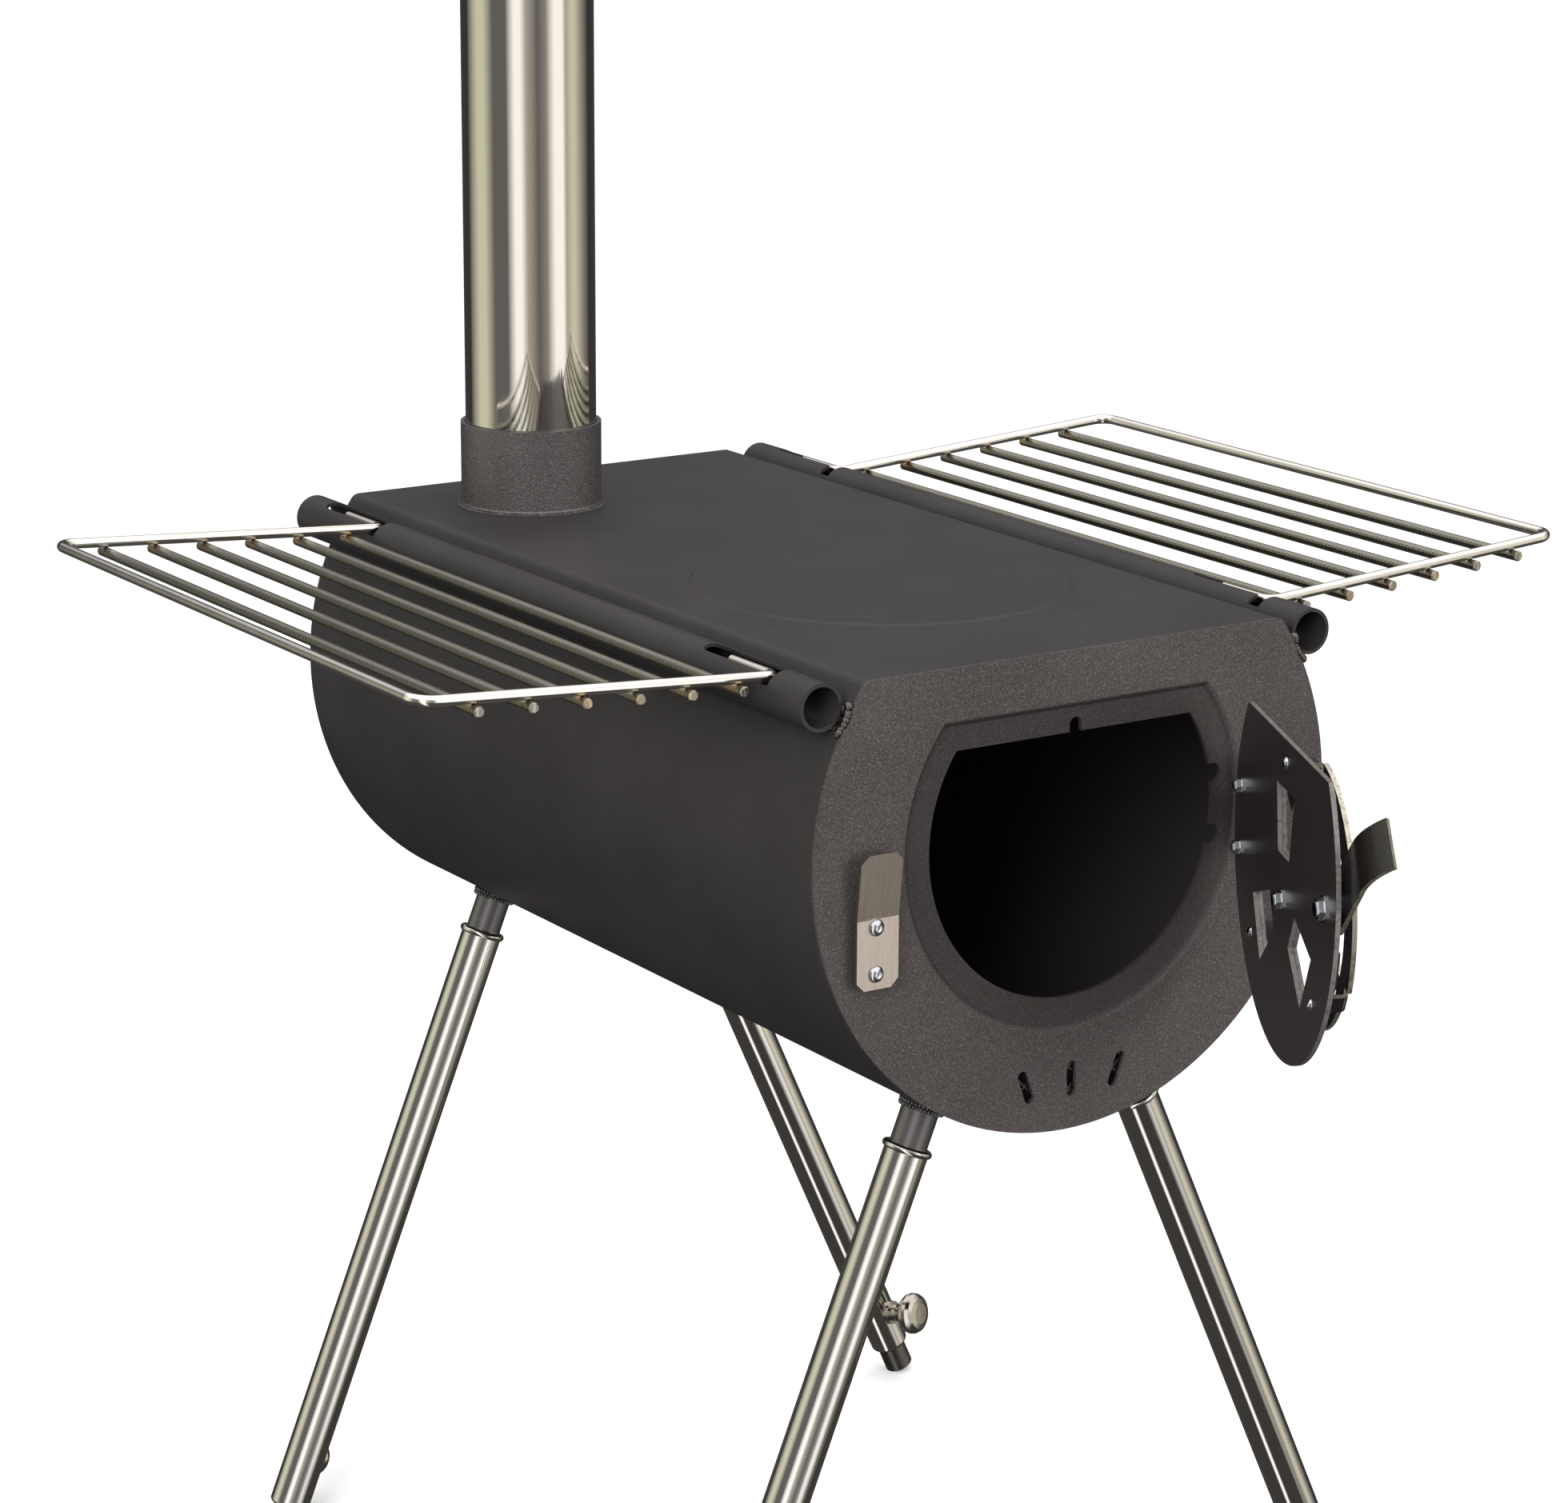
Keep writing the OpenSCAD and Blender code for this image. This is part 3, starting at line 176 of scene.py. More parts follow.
def paint(name, dark, light, rough, grain_mm, bump_mm, painted_glints=0.0, behind=None, recess_shade=0.0, gloss=0.25,
          index=1.5):
    """Silicone paint for hot steel, sprayed on sheet: a fine grain, on some pieces with pale specks painted in
    as its glints, with painted shade down in a recess and painted shade inside the firebox. The real grain is
    too fine to show, so it is drawn coarser, at about a millimetre."""
    material, tree = start_material(name)
    spot = in_piece(tree)
    grain = put(tree, "ShaderNodeTexNoise",
                {"Vector": spot, "Scale": 1 / grain_mm, "Detail": 3.0, "Roughness": 0.65})
    cloud = put(tree, "ShaderNodeTexNoise", {"Vector": spot, "Scale": 1 / CLOUD_MM, "Detail": 2.0})
    grain_tone = put(tree, "ShaderNodeMath", {0: grain, 1: GRAIN_SHARE}, operation="MULTIPLY")
    tone = put(tree, "ShaderNodeMath", {0: cloud, 1: CLOUD_SHARE, 2: grain_tone}, operation="MULTIPLY_ADD")
    shade = put(tree, "ShaderNodeValToRGB", {"Fac": tone}, stops=[(0.36, dark), (0.64, light)])
    # Painted glints: pale specks mixed into the colour where the paint would catch the light
    if painted_glints:
        glints = put(tree, "ShaderNodeTexNoise",
                   {"Vector": spot, "Scale": GLINTS_PER_GRAIN / grain_mm, "Detail": 2.0})
        glints = put(tree, "ShaderNodeMapRange",
                   {"Value": glints, "From Min": 0.54, "From Max": 0.7, "To Max": painted_glints})
        shade = put(tree, "ShaderNodeMix", {"Factor": glints, "A": shade, "B": colour(GLINT_SPECK)}, data_type="RGBA")
    # Painted shade: the colour grows darker with depth down in the front plate's pressed recess
    if recess_shade:
        depth = put(tree, "ShaderNodeSeparateXYZ", {"Vector": in_stove(tree)}).outputs["Y"]
        depth = put(tree, "ShaderNodeMapRange",
                    {"Value": depth, "From Min": RECESS_STARTS, "From Max": RECESS_DEEP, "To Max": recess_shade})
        shade = put(tree, "ShaderNodeMix", {"Factor": depth, "A": shade, "B": colour(SHADOW)},
                    data_type="RGBA")
    # Painted shade: an even dark tone on the faces inside the firebox
    if behind is not None:
        inside_shade = painted_inside_shade(tree, behind)
        shade = put(tree, "ShaderNodeMix", {"Factor": inside_shade, "A": shade, "B": colour(INSIDE_SHADE)}, data_type="RGBA")
    worn = put(tree, "ShaderNodeMapRange",
               {"Value": grain, "To Min": rough - GRAIN_ROUGH, "To Max": rough + GRAIN_ROUGH})
    bump = put(tree, "ShaderNodeBump", {"Height": grain, "Strength": 0.6, "Distance": bump_mm * MM})
    close_material(tree, {"Base Color": shade, "Roughness": worn, "Normal": bump, "Specular IOR Level": gloss,
                          "IOR": index})
    return material


# How smooth and how rough a metal is over its marks, as shares of its roughness
SMOOTHEST, ROUGHEST = 0.6, 1.7


def polished(name, tint, rough, marks_per_mm, bump_mm=0.004):
    """Bare metal with faint marks, given as the number of them per millimetre along X, Y and Z. Real polishing
    marks are too fine to show, so all but the brushed sheet's are drawn coarser."""
    material, tree = start_material(name)
    spot = in_piece(tree, marks_per_mm)
    marks = put(tree, "ShaderNodeTexNoise", {"Vector": spot, "Scale": 1.0, "Detail": 4.0, "Roughness": 0.7})
    worn = put(tree, "ShaderNodeMapRange",
               {"Value": marks, "From Min": 0.3, "From Max": 0.75, "To Min": rough * SMOOTHEST,
                "To Max": rough * ROUGHEST})
    bump = put(tree, "ShaderNodeBump", {"Height": marks, "Strength": 0.35, "Distance": bump_mm * MM})
    close_material(tree, {"Base Color": colour(tint), "Metallic": 1.0, "Roughness": worn, "Normal": bump})
    return material


# The rack's welds: how far back its two side wires are, how far out its first rod is, and how far apart the
# rods are
SIDE_WIRES = (33.7, 360.0)
FIRST_ROD, ROD_PITCH = 140.5, 23.74
HEAT_PER_MM = 0.13


def weld_heat(tree):
    """Straw heat tint where the rack's rods cross its side wires, stronger at some welds than at others."""
    parts = put(tree, "ShaderNodeSeparateXYZ", {"Vector": in_stove(tree)}).outputs
    gaps = []
    for wire in SIDE_WIRES:
        gap = put(tree, "ShaderNodeMath", {0: parts["Y"], 1: wire}, operation="SUBTRACT")
        gaps.append(put(tree, "ShaderNodeMath", {0: gap}, operation="ABSOLUTE"))
    off_wire = put(tree, "ShaderNodeMath", {0: gaps[0], 1: gaps[1]}, operation="MINIMUM")
    near_wire = put(tree, "ShaderNodeMapRange",
                    {"Value": off_wire, "From Min": 3.0, "From Max": 9.0, "To Min": 1.0, "To Max": 0.0})
    past_first = put(tree, "ShaderNodeMath", {0: parts["X"]}, operation="ABSOLUTE")
    past_first = put(tree, "ShaderNodeMath", {0: past_first, 1: FIRST_ROD}, operation="SUBTRACT")
    past_first = put(tree, "ShaderNodeMath", {0: past_first, 1: 0.0}, operation="MAXIMUM")
    off_rod = put(tree, "ShaderNodeMath", {0: past_first, 1: ROD_PITCH / 2}, operation="PINGPONG")
    near_rod = put(tree, "ShaderNodeMapRange",
                   {"Value": off_rod, "From Min": 2.0, "From Max": 6.0, "To Min": 1.0, "To Max": 0.0})
    patchy = put(tree, "ShaderNodeTexNoise", {"Vector": in_piece(tree), "Scale": HEAT_PER_MM, "Detail": 1.0})
    patchy = put(tree, "ShaderNodeMapRange",
                 {"Value": patchy, "From Min": 0.4, "From Max": 0.65, "To Max": 0.5})
    at_weld = put(tree, "ShaderNodeMath", {0: near_wire, 1: near_rod}, operation="MULTIPLY")
    return put(tree, "ShaderNodeMath", {0: at_weld, 1: patchy}, operation="MULTIPLY")


# The rods' burnish marks: steps of the wave pattern per millimetre, each of which holds about three of them,
# their slant in radians, and their depth
WAVE_PER_MM = 0.16
MARK_SLANT = 0.5
MARK_MM = 0.05


def drawn_rod(name):
    """Straightened stainless wire of the rack's rods: duller than the frame, with slanting burnish marks
    about two millimetres apart and straw heat tint at the welds."""
    material, tree = start_material(name)
    turned = put(tree, "ShaderNodeMapping",
                 {"Vector": in_stove(tree), "Rotation": (0, 0, MARK_SLANT), "Scale": [WAVE_PER_MM] * 3})
    marks = put(tree, "ShaderNodeTexWave", {"Vector": turned, "Scale": 1.0, "Distortion": 2.5, "Detail": 2.0},
                bands_direction="Y").outputs["Fac"]
    marks = put(tree, "ShaderNodeMapRange", {"Value": marks, "From Min": 0.8, "From Max": 1.0})
    shade = put(tree, "ShaderNodeMix", {"Factor": marks, "A": colour("8b897f"), "B": colour("b9b7ad")},
                data_type="RGBA")
    shade = put(tree, "ShaderNodeMix", {"Factor": weld_heat(tree), "A": shade, "B": colour("c9a26c")},
                data_type="RGBA")
    bump = put(tree, "ShaderNodeBump", {"Height": marks, "Strength": 0.5, "Distance": MARK_MM * MM})
    close_material(tree, {"Base Color": shade, "Metallic": 1.0, "Roughness": 0.3, "Normal": bump})
    return material


# The open door: how far it is turned, the way out of its outer face, its hinge pin, and the regulator's bolt
# on that face. What is farther off the face than the guard's legs reach is the guard's flat.
DOOR_TURN = math.radians(65.1)
DOOR_OUT = Vector((math.sin(DOOR_TURN), -math.cos(DOOR_TURN), 0))
PIN = at(85.9965, -8.05, 0)
SHUT_BOLT = at(0, 0.1, -15.3)
BOLT = PIN + Matrix.Rotation(DOOR_TURN, 3, "Z") @ (SHUT_BOLT - PIN)
GUARD_LEGS_REACH = 10.9

# The latch lever's strip: the way across it, and the way out of the end of its curled tip
LEVER_RAISE, LEVER_CURL = math.radians(41.5), math.radians(43.5)
LEVER_TURN = Matrix.Rotation(DOOR_TURN, 3, "Z") @ Matrix.Rotation(LEVER_RAISE, 3, "Y")
LEVER_ACROSS = LEVER_TURN @ UP
LEVER_TIP = LEVER_TURN @ Vector((-math.cos(LEVER_CURL), -math.sin(LEVER_CURL), 0))


def guard_edges(tree, coordinates, normal):
    """1 on the cut edges of the guard: square to the face on its flat, and on the strip's two sides down each
    leg."""
    offset = put(tree, "ShaderNodeVectorMath", {0: coordinates, 1: BOLT}, operation="SUBTRACT")
    off_door = put(tree, "ShaderNodeVectorMath", {0: offset, 1: DOOR_OUT}, operation="DOT_PRODUCT")
    lift = put(tree, "ShaderNodeVectorMath", {0: DOOR_OUT, "Scale": off_door}, operation="SCALE")
    from_bolt = put(tree, "ShaderNodeVectorMath", {0: offset, 1: lift}, operation="SUBTRACT")
    from_bolt = put(tree, "ShaderNodeVectorMath", {0: from_bolt}, operation="NORMALIZE")
    faces_out = put(tree, "ShaderNodeVectorMath", {0: normal, 1: DOOR_OUT}, operation="DOT_PRODUCT")
    faces_out = put(tree, "ShaderNodeMath", {0: faces_out}, operation="ABSOLUTE")
    square = put(tree, "ShaderNodeMath", {0: faces_out, 1: 0.5}, operation="LESS_THAN")
    faces_rim = put(tree, "ShaderNodeVectorMath", {0: normal, 1: from_bolt}, operation="DOT_PRODUCT")
    faces_rim = put(tree, "ShaderNodeMath", {0: faces_rim}, operation="ABSOLUTE")
    sideways = put(tree, "ShaderNodeMath", {0: faces_rim, 1: 0.6}, operation="LESS_THAN")
    flat = put(tree, "ShaderNodeMath", {0: off_door, 1: GUARD_LEGS_REACH * MM}, operation="GREATER_THAN")
    either = put(tree, "ShaderNodeMath", {0: flat, 1: sideways}, operation="MAXIMUM")
    return put(tree, "ShaderNodeMath", {0: square, 1: either}, operation="MULTIPLY")


def lever_edges(tree, coordinates, normal):
    """1 on the lever's two long edges and on the end of its tip."""
    side = put(tree, "ShaderNodeVectorMath", {0: normal, 1: LEVER_ACROSS}, operation="DOT_PRODUCT")
    side = put(tree, "ShaderNodeMath", {0: side}, operation="ABSOLUTE")
    side = put(tree, "ShaderNodeMath", {0: side, 1: 0.7}, operation="GREATER_THAN")
    tip = put(tree, "ShaderNodeVectorMath", {0: normal, 1: LEVER_TIP}, operation="DOT_PRODUCT")
    tip = put(tree, "ShaderNodeMath", {0: tip, 1: 0.9}, operation="GREATER_THAN")
    return put(tree, "ShaderNodeMath", {0: side, 1: tip}, operation="MAXIMUM")


def door_edges(tree, coordinates, normal):
    """1 on every face square to the door's plate: its rim and the vents' walls."""
    faces_out = put(tree, "ShaderNodeVectorMath", {0: normal, 1: DOOR_OUT}, operation="DOT_PRODUCT")
    faces_out = put(tree, "ShaderNodeMath", {0: faces_out}, operation="ABSOLUTE")
    return put(tree, "ShaderNodeMath", {0: faces_out, 1: 0.4}, operation="LESS_THAN")


# Satin paint: steps of its grain and of its worn patches per millimetre, the grain's depth, and the roughness
# of an edge where the paint is off
SATIN_GRAIN_PER_MM, WEAR_PER_MM = 0.8, 0.5
SATIN_BUMP_MM = 0.02
EDGE_ROUGH = 0.34


def cut_paint(name, dark, light, rough, edges, bare, bare_metal):
    """Satin heat-proof paint on laser-cut sheet: smooth and dark, and thin or rubbed off in patches on the
    cut edges. Its grain is drawn coarser than the real one, to show."""
    material, tree = start_material(name)
    spot = in_piece(tree)
    piece = put(tree, "ShaderNodeTexCoord").outputs
    grain = put(tree, "ShaderNodeTexNoise", {"Vector": spot, "Scale": SATIN_GRAIN_PER_MM, "Detail": 3.0})
    wear = put(tree, "ShaderNodeTexNoise",
               {"Vector": spot, "Scale": WEAR_PER_MM, "Detail": 3.0, "Roughness": 0.7})
    wear = put(tree, "ShaderNodeMapRange", {"Value": wear, "From Min": 0.3, "From Max": 0.55, "To Min": 0.35})
    edge = edges(tree, piece["Object"], piece["Normal"])
    edge = put(tree, "ShaderNodeMath", {0: edge, 1: wear}, operation="MULTIPLY")
    coat = put(tree, "ShaderNodeValToRGB", {"Fac": grain}, stops=[(0.35, dark), (0.65, light)])
    shade = put(tree, "ShaderNodeMix", {"Factor": edge, "A": coat, "B": colour(bare)}, data_type="RGBA")
    metal = put(tree, "ShaderNodeMath", {0: edge, 1: bare_metal}, operation="MULTIPLY")
    worn = put(tree, "ShaderNodeMapRange", {"Value": edge, "To Min": rough, "To Max": EDGE_ROUGH})
    bump = put(tree, "ShaderNodeBump", {"Height": grain, "Strength": 0.3, "Distance": SATIN_BUMP_MM * MM})
    close_material(tree, {"Base Color": shade, "Metallic": metal, "Roughness": worn, "Normal": bump})
    return material


# The barrel's paint is dead flat and nearly black. Behind the front rim, inside the sheet, it takes an even
# painted shade.
stove_paint = paint("matt_heat_proof_paint", "2a2728", "343132", rough=0.5, grain_mm=0.9, bump_mm=0.05,
                    behind=2.05)

# The front plate's is paler, with pale specks painted in as glints, painted shade down in the pressed recess,
# and painted shade where it faces into the firebox.
front_paint = paint("glint_speckled_heat_proof_paint", "373333", "454040", rough=0.5, grain_mm=0.6, bump_mm=0.14,
                    painted_glints=0.45, behind=2.5, recess_shade=0.5)

# The flue collar's is thick and coarse, each grain shines a little, and pale specks are painted in as glints.
collar_paint = paint("grainy_heat_proof_paint", "221f20", "3e3a3a", rough=0.42, grain_mm=0.9, bump_mm=0.5,
                     painted_glints=0.3, gloss=1.0, index=1.6)

# The leg sockets' is smoother, so that each ripple of their welds has a soft light on it.
socket_paint = paint("satin_socket_paint", "2c2829", "3a3535", rough=0.34, grain_mm=1.2, bump_mm=0.1,
                     gloss=1.0, index=1.7)

# The cut pieces on the door: grey edges on the plate, and bright bare steel on the edges of guard and lever
door_paint = cut_paint("satin_door_paint", "272324", "322c2d", 0.34, door_edges, "6d6967", bare_metal=0.0)
guard_paint = cut_paint("satin_guard_paint", "1b1819", "262123", 0.36, guard_edges, "d6cfbd", bare_metal=1.0)
lever_paint = cut_paint("satin_lever_paint", "161414", "201d1c", 0.22, lever_edges, "dcd4bf", bare_metal=1.0)

# Drawn and polished stainless tube: long clean reflections of the room, with marks along the tube
flue_steel = polished("polished_stainless_tube", "cdc8be", rough=0.045, marks_per_mm=(0.9, 0.9, 0.02))
leg_steel = polished("polished_stainless_leg", "d2cfca", rough=0.05, marks_per_mm=(0.6, 0.6, 0.03),
                     bump_mm=0.002)

# Bright drawn stainless wire: smooth, with soft white lights along it. The wire of the rods is straightened
# and duller.
wire_steel = polished("bright_stainless_wire", "f0ece6", rough=0.14, marks_per_mm=(0.05, 0.05, 0.05),
                      bump_mm=0.002)
rod_wire = drawn_rod("drawn_stainless_rod")

# Stainless turned on a lathe, for the thumbscrews: an even shine, a little blurred
knob_steel = polished("turned_stainless", "c2bcb2", rough=0.16, marks_per_mm=(0.8, 0.8, 0.8))

# Brushed stainless sheet: a soft sheen with fine streaks up and down
brushed = polished("brushed_stainless_sheet", "bdb1a7", rough=0.22, marks_per_mm=(5.0, 0.3, 0.05),
                   bump_mm=0.0003)

# Bright zinc plating on screws, nuts, washers and rivets: cool and pale
zinc = polished("bright_zinc_plating", "d5d8dc", rough=0.16, marks_per_mm=(0.4, 0.4, 0.4), bump_mm=0.001)

# Plain drawn tube, not polished: a dull grey
plain_tube = polished("plain_drawn_tube", "6f6b66", rough=0.34, marks_per_mm=(0.7, 0.7, 0.2))

# Bare weld metal: grey, dull and uneven
weld_steel = polished("bare_weld_bead", "6f6966", rough=0.34, marks_per_mm=(0.6, 0.6, 0.6), bump_mm=0.03)

# Steel mesh that the fire has sooted: dark, with little shine
mesh_steel = polished("sooted_mesh_steel", "4a4745", rough=0.4, marks_per_mm=(0.8, 0.8, 0.8), bump_mm=0.02)

FINISHES = [
    (stove_paint, ("barrel", "rear_plate", "left_rack_tube", "right_rack_tube", "rack_tube_welds")),
    (front_paint, ("front_plate",)),
    (collar_paint, ("flue_collar",)),
    (socket_paint, ("leg_sockets", "socket_welds", "hinge_frame_leaf", "keeper_spacer")),
    (door_paint, ("door_plate", "air_regulator", "hinge_door_leaf")),
    (guard_paint, ("door_guard",)),
    (lever_paint, ("latch_lever",)),
    (flue_steel, ("flue_pipe",)),
    (mesh_steel, ("slot_screen",)),
    (brushed, ("keeper_plate", "hinge_pin")),
]
FINISH_BY_ENDING = [
    (leg_steel, "_leg"),
    (plain_tube, "foot_rod"),
    (wire_steel, "rack_frame"),
    (rod_wire, "rack_rods"),
]


def finish_of(name):
    """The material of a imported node. What none of the names fits is a fastener, and zinc plated."""
    for finish, names in FINISHES:
        if name in names:
            return finish
    for finish, ending in FINISH_BY_ENDING:
        if name.endswith(ending):
            return finish
    return knob_steel if "thumbscrew" in name else zinc


for name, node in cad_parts.items():
    node.data.materials.clear()
    node.data.materials.append(finish_of(name))

# Weld beads
BEAD_INPUTS = (("Geometry", "Geometry"), ("Spacing", "Float"), ("Size", "Float"), ("Stretch", "Float"),
               ("Spread", "Float"), ("Seed", "Int"), ("Finish", "Material"))


def bead_tree():
    """Lays blobs along a line: Spacing apart, Size in radius, Stretch times as long, and uneven in size by
    Spread."""
    tree = bpy.data.node_groups.new("weld_bead", "GeometryNodeTree")
    for name, kind in BEAD_INPUTS:
        tree.interface.new_socket(name, in_out="INPUT", socket_type="NodeSocket" + kind)
    tree.interface.new_socket("Geometry", in_out="OUTPUT", socket_type="NodeSocketGeometry")
    given = put(tree, "NodeGroupInput").outputs
    line = put(tree, "GeometryNodeMeshToCurve", {"Mesh": given["Geometry"]})
    line = put(tree, "GeometryNodeResampleCurve", {"Curve": line, "Length": given["Spacing"]}, mode="LENGTH")
    blob = put(tree, "GeometryNodeMeshIcoSphere", {"Radius": 1.0, "Subdivisions": 2})
    tangent = put(tree, "GeometryNodeInputTangent")
    turn = put(tree, "FunctionNodeAlignRotationToVector", {"Vector": tangent}, axis="X")
    low = put(tree, "ShaderNodeMath", {0: 1.0, 1: given["Spread"]}, operation="SUBTRACT")
    high = put(tree, "ShaderNodeMath", {0: 1.0, 1: given["Spread"]}, operation="ADD")
    uneven = put(tree, "FunctionNodeRandomValue", {2: low, 3: high, "Seed": given["Seed"]})
    size = put(tree, "ShaderNodeMath", {0: uneven, 1: given["Size"]}, operation="MULTIPLY")
    length = put(tree, "ShaderNodeMath", {0: size, 1: given["Stretch"]}, operation="MULTIPLY")
    scale = put(tree, "ShaderNodeCombineXYZ", {"X": length, "Y": size, "Z": size})
    blobs = put(tree, "GeometryNodeInstanceOnPoints",
                {"Points": line, "Instance": blob, "Rotation": turn, "Scale": scale})
    solid = put(tree, "GeometryNodeRealizeInstances", {"Geometry": blobs})
    smooth = put(tree, "GeometryNodeSetShadeSmooth", {"Geometry": solid})
    done = put(tree, "GeometryNodeSetMaterial", {"Geometry": smooth, "Material": given["Finish"]})
    put(tree, "NodeGroupOutput", {"Geometry": done})
    return tree


BEADS = bead_tree()


def weld(name, lines, finish, spacing, size, stretch, spread, seed):
    """Weld beads along lines of points, as one plain mesh on the stove's body. Spacing and size are in
    millimetres."""
    mesh = bpy.data.meshes.new(name)
    points = [point for line in lines for point in line]
    edges, start = [], 0
    for line in lines:
        edges += [(start + i, start + i + 1) for i in range(len(line) - 1)]
        start += len(line)
    mesh.from_pydata(points, edges, [])
    maker = bpy.data.objects.new(name + "_maker", mesh)
    bpy.context.scene.collection.objects.link(maker)
    modifier = maker.modifiers.new("beads", "NODES")
    modifier.node_group = BEADS
    wanted = {"Spacing": spacing * MM, "Size": size * MM, "Stretch": stretch, "Spread": spread, "Seed": seed,
              "Finish": finish}
    for item in BEADS.interface.items_tree:
        if item.in_out == "INPUT" and item.name in wanted:
            modifier[item.identifier] = wanted[item.name]
    bpy.context.view_layer.update()
    graph = bpy.context.evaluated_depsgraph_get()
    solid = bpy.data.meshes.new_from_object(maker.evaluated_get(graph))
    bpy.data.objects.remove(maker)
    piece = bpy.data.objects.new(name, solid)
    bpy.context.scene.collection.objects.link(piece)
    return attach(piece, "stove")


def ring(centre, first, second, radius, count):
    """A closed ring of points about centre, in the plane of two unit vectors."""
    steps = [2 * math.pi * i / count for i in range(count + 1)]
    return [centre + (first * math.cos(a) + second * math.sin(a)) * radius * MM for a in steps]


# The legs: how far they lean, how far the whole set is turned about the barrel, and how far back each pair
# is. The rings of weld round a socket have a depth below the barrel and a radius.
LEG_TILT, LEG_TWIST = 23.4, 1.2
LEG_PAIRS = (37.0, 394.1)
SOCKET_RINGS = ((1.0, 9.0), (2.6, 8.9))
SOCKET_RING_POINTS = 96


def socket_lines():
    """Two rings of weld round each leg socket."""
    lines = []
    for side in (-1, 1):
        tilt = math.radians(LEG_TILT + side * LEG_TWIST)
        down = Vector((side * math.sin(tilt), 0, -math.cos(tilt)))
        across = Vector((math.cos(tilt), 0, side * math.sin(tilt)))
        for y in LEG_PAIRS:
            for depth, radius in SOCKET_RINGS:
                centre = at(0, y, 0) + down * (BARREL_R + depth) * MM
                lines.append(ring(centre, across, BACK, radius, SOCKET_RING_POINTS))
    return lines


# The weld at each end of a rack tube, by distance from the middle and height: lumps in the groove between
# tube and barrel, lumps across it on the end face, and a thin bead on the plate's round edge beside it
GROOVE = ((111.6, 63.8), (112.9, 60.2), (115.2, 57.2))
GROOVE_DEPTHS = (1.6, 6.0, 12.0)
END_RUN = ((111.2, 66.0), (111.8, 62.4), (113.6, 58.8), (116.6, 55.4))
END_RUN_DEPTH = 1.2
EDGE_BEAD_R, EDGE_BEAD_DEPTH = 127.5, 0.7
EDGE_BEAD_ANGLES = range(14, 26, 3)


def at_tube_end(side, rear, x, depth, z):
    """A point at one end of a rack tube, by its distance from the middle, depth from that end and height."""
    return at(side * x, BARREL_LEN - depth if rear else depth, z)


def tube_end_lines():
    """The lines of lumps and the lines of thin bead at the four ends of the rack tubes."""
    lumps, rims = [], []
    turns = [math.radians(angle) for angle in EDGE_BEAD_ANGLES]
    edge = [(EDGE_BEAD_R * math.cos(turn), EDGE_BEAD_R * math.sin(turn)) for turn in turns]
    for side in (-1, 1):
        for rear in (False, True):
            for x, z in GROOVE:
                lumps.append([at_tube_end(side, rear, x, depth, z) for depth in GROOVE_DEPTHS])
            lumps.append([at_tube_end(side, rear, x, END_RUN_DEPTH, z) for x, z in END_RUN])
            rims.append([at_tube_end(side, rear, x, EDGE_BEAD_DEPTH, z) for x, z in edge])
    return lumps, rims


# The flue collar's foot on the cooking top
FLUE_X, FLUE_Y = -41.4, 368.1
COLLAR_BEAD_R, COLLAR_BEAD_LIFT = 32.9, 0.25
COLLAR_RING_POINTS = 120


def make_welds():
    sockets = weld("socket_beads", socket_lines(), socket_paint,
                   spacing=1.6, size=1.15, stretch=0.62, spread=0.12, seed=3)
    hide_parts("socket_welds")
    foot = at(FLUE_X, FLUE_Y, TOP_Z + COLLAR_BEAD_LIFT)
    weld("collar_bead", [ring(foot, RIGHT, BACK, COLLAR_BEAD_R, COLLAR_RING_POINTS)], stove_paint,
         spacing=1.5, size=0.6, stretch=1.3, spread=0.3, seed=5)
    lumps, rims = tube_end_lines()
    corners = weld("tube_corner_welds", lumps, weld_steel,
                   spacing=0.9, size=1.6, stretch=1.0, spread=0.25, seed=11)
    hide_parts("rack_tube_welds")
    weld("plate_edge_beads", rims, weld_steel, spacing=1.1, size=0.55, stretch=1.6, spread=0.25, seed=7)


make_welds()

# The keeper's two screws are button heads with a hexagon socket. Each ring of a head has its height over the
# plate, its radius, and how far it is a hexagon, which is drawn a little larger than its circle.
KEEPER_X, KEEPER_FACE = -101.6, -5.5
KEEPER_SCREWS = (-23.5, -42.7)
HEAD_RINGS = [(-0.2, 3.5, 0), (0.35, 3.5, 0), (1.1, 3.15, 0), (1.75, 2.5, 0), (2.1, 1.75, 0), (2.2, 1.5, 0.6),
              (2.15, 1.25, 1), (0.9, 1.2, 1)]
HEAD_SIDES = 24
HEXAGON_SIZE = 1.08


def socket_screw(centre, out, up):
    """The points of one head, ring by ring, from its rim to the floor of its socket."""
    across = up.cross(out)
    points = []
    for height, radius, hexagon in HEAD_RINGS:
        for i in range(HEAD_SIDES):
            a = 2 * math.pi * i / HEAD_SIDES
            corner = math.cos(math.pi / 6) / math.cos((a + math.pi / 6) % (math.pi / 3) - math.pi / 6)
            reach = radius * (1 - hexagon + hexagon * corner * HEXAGON_SIZE)
            points.append(centre + (out * height + (across * math.cos(a) + up * math.sin(a)) * reach) * MM)
    return points


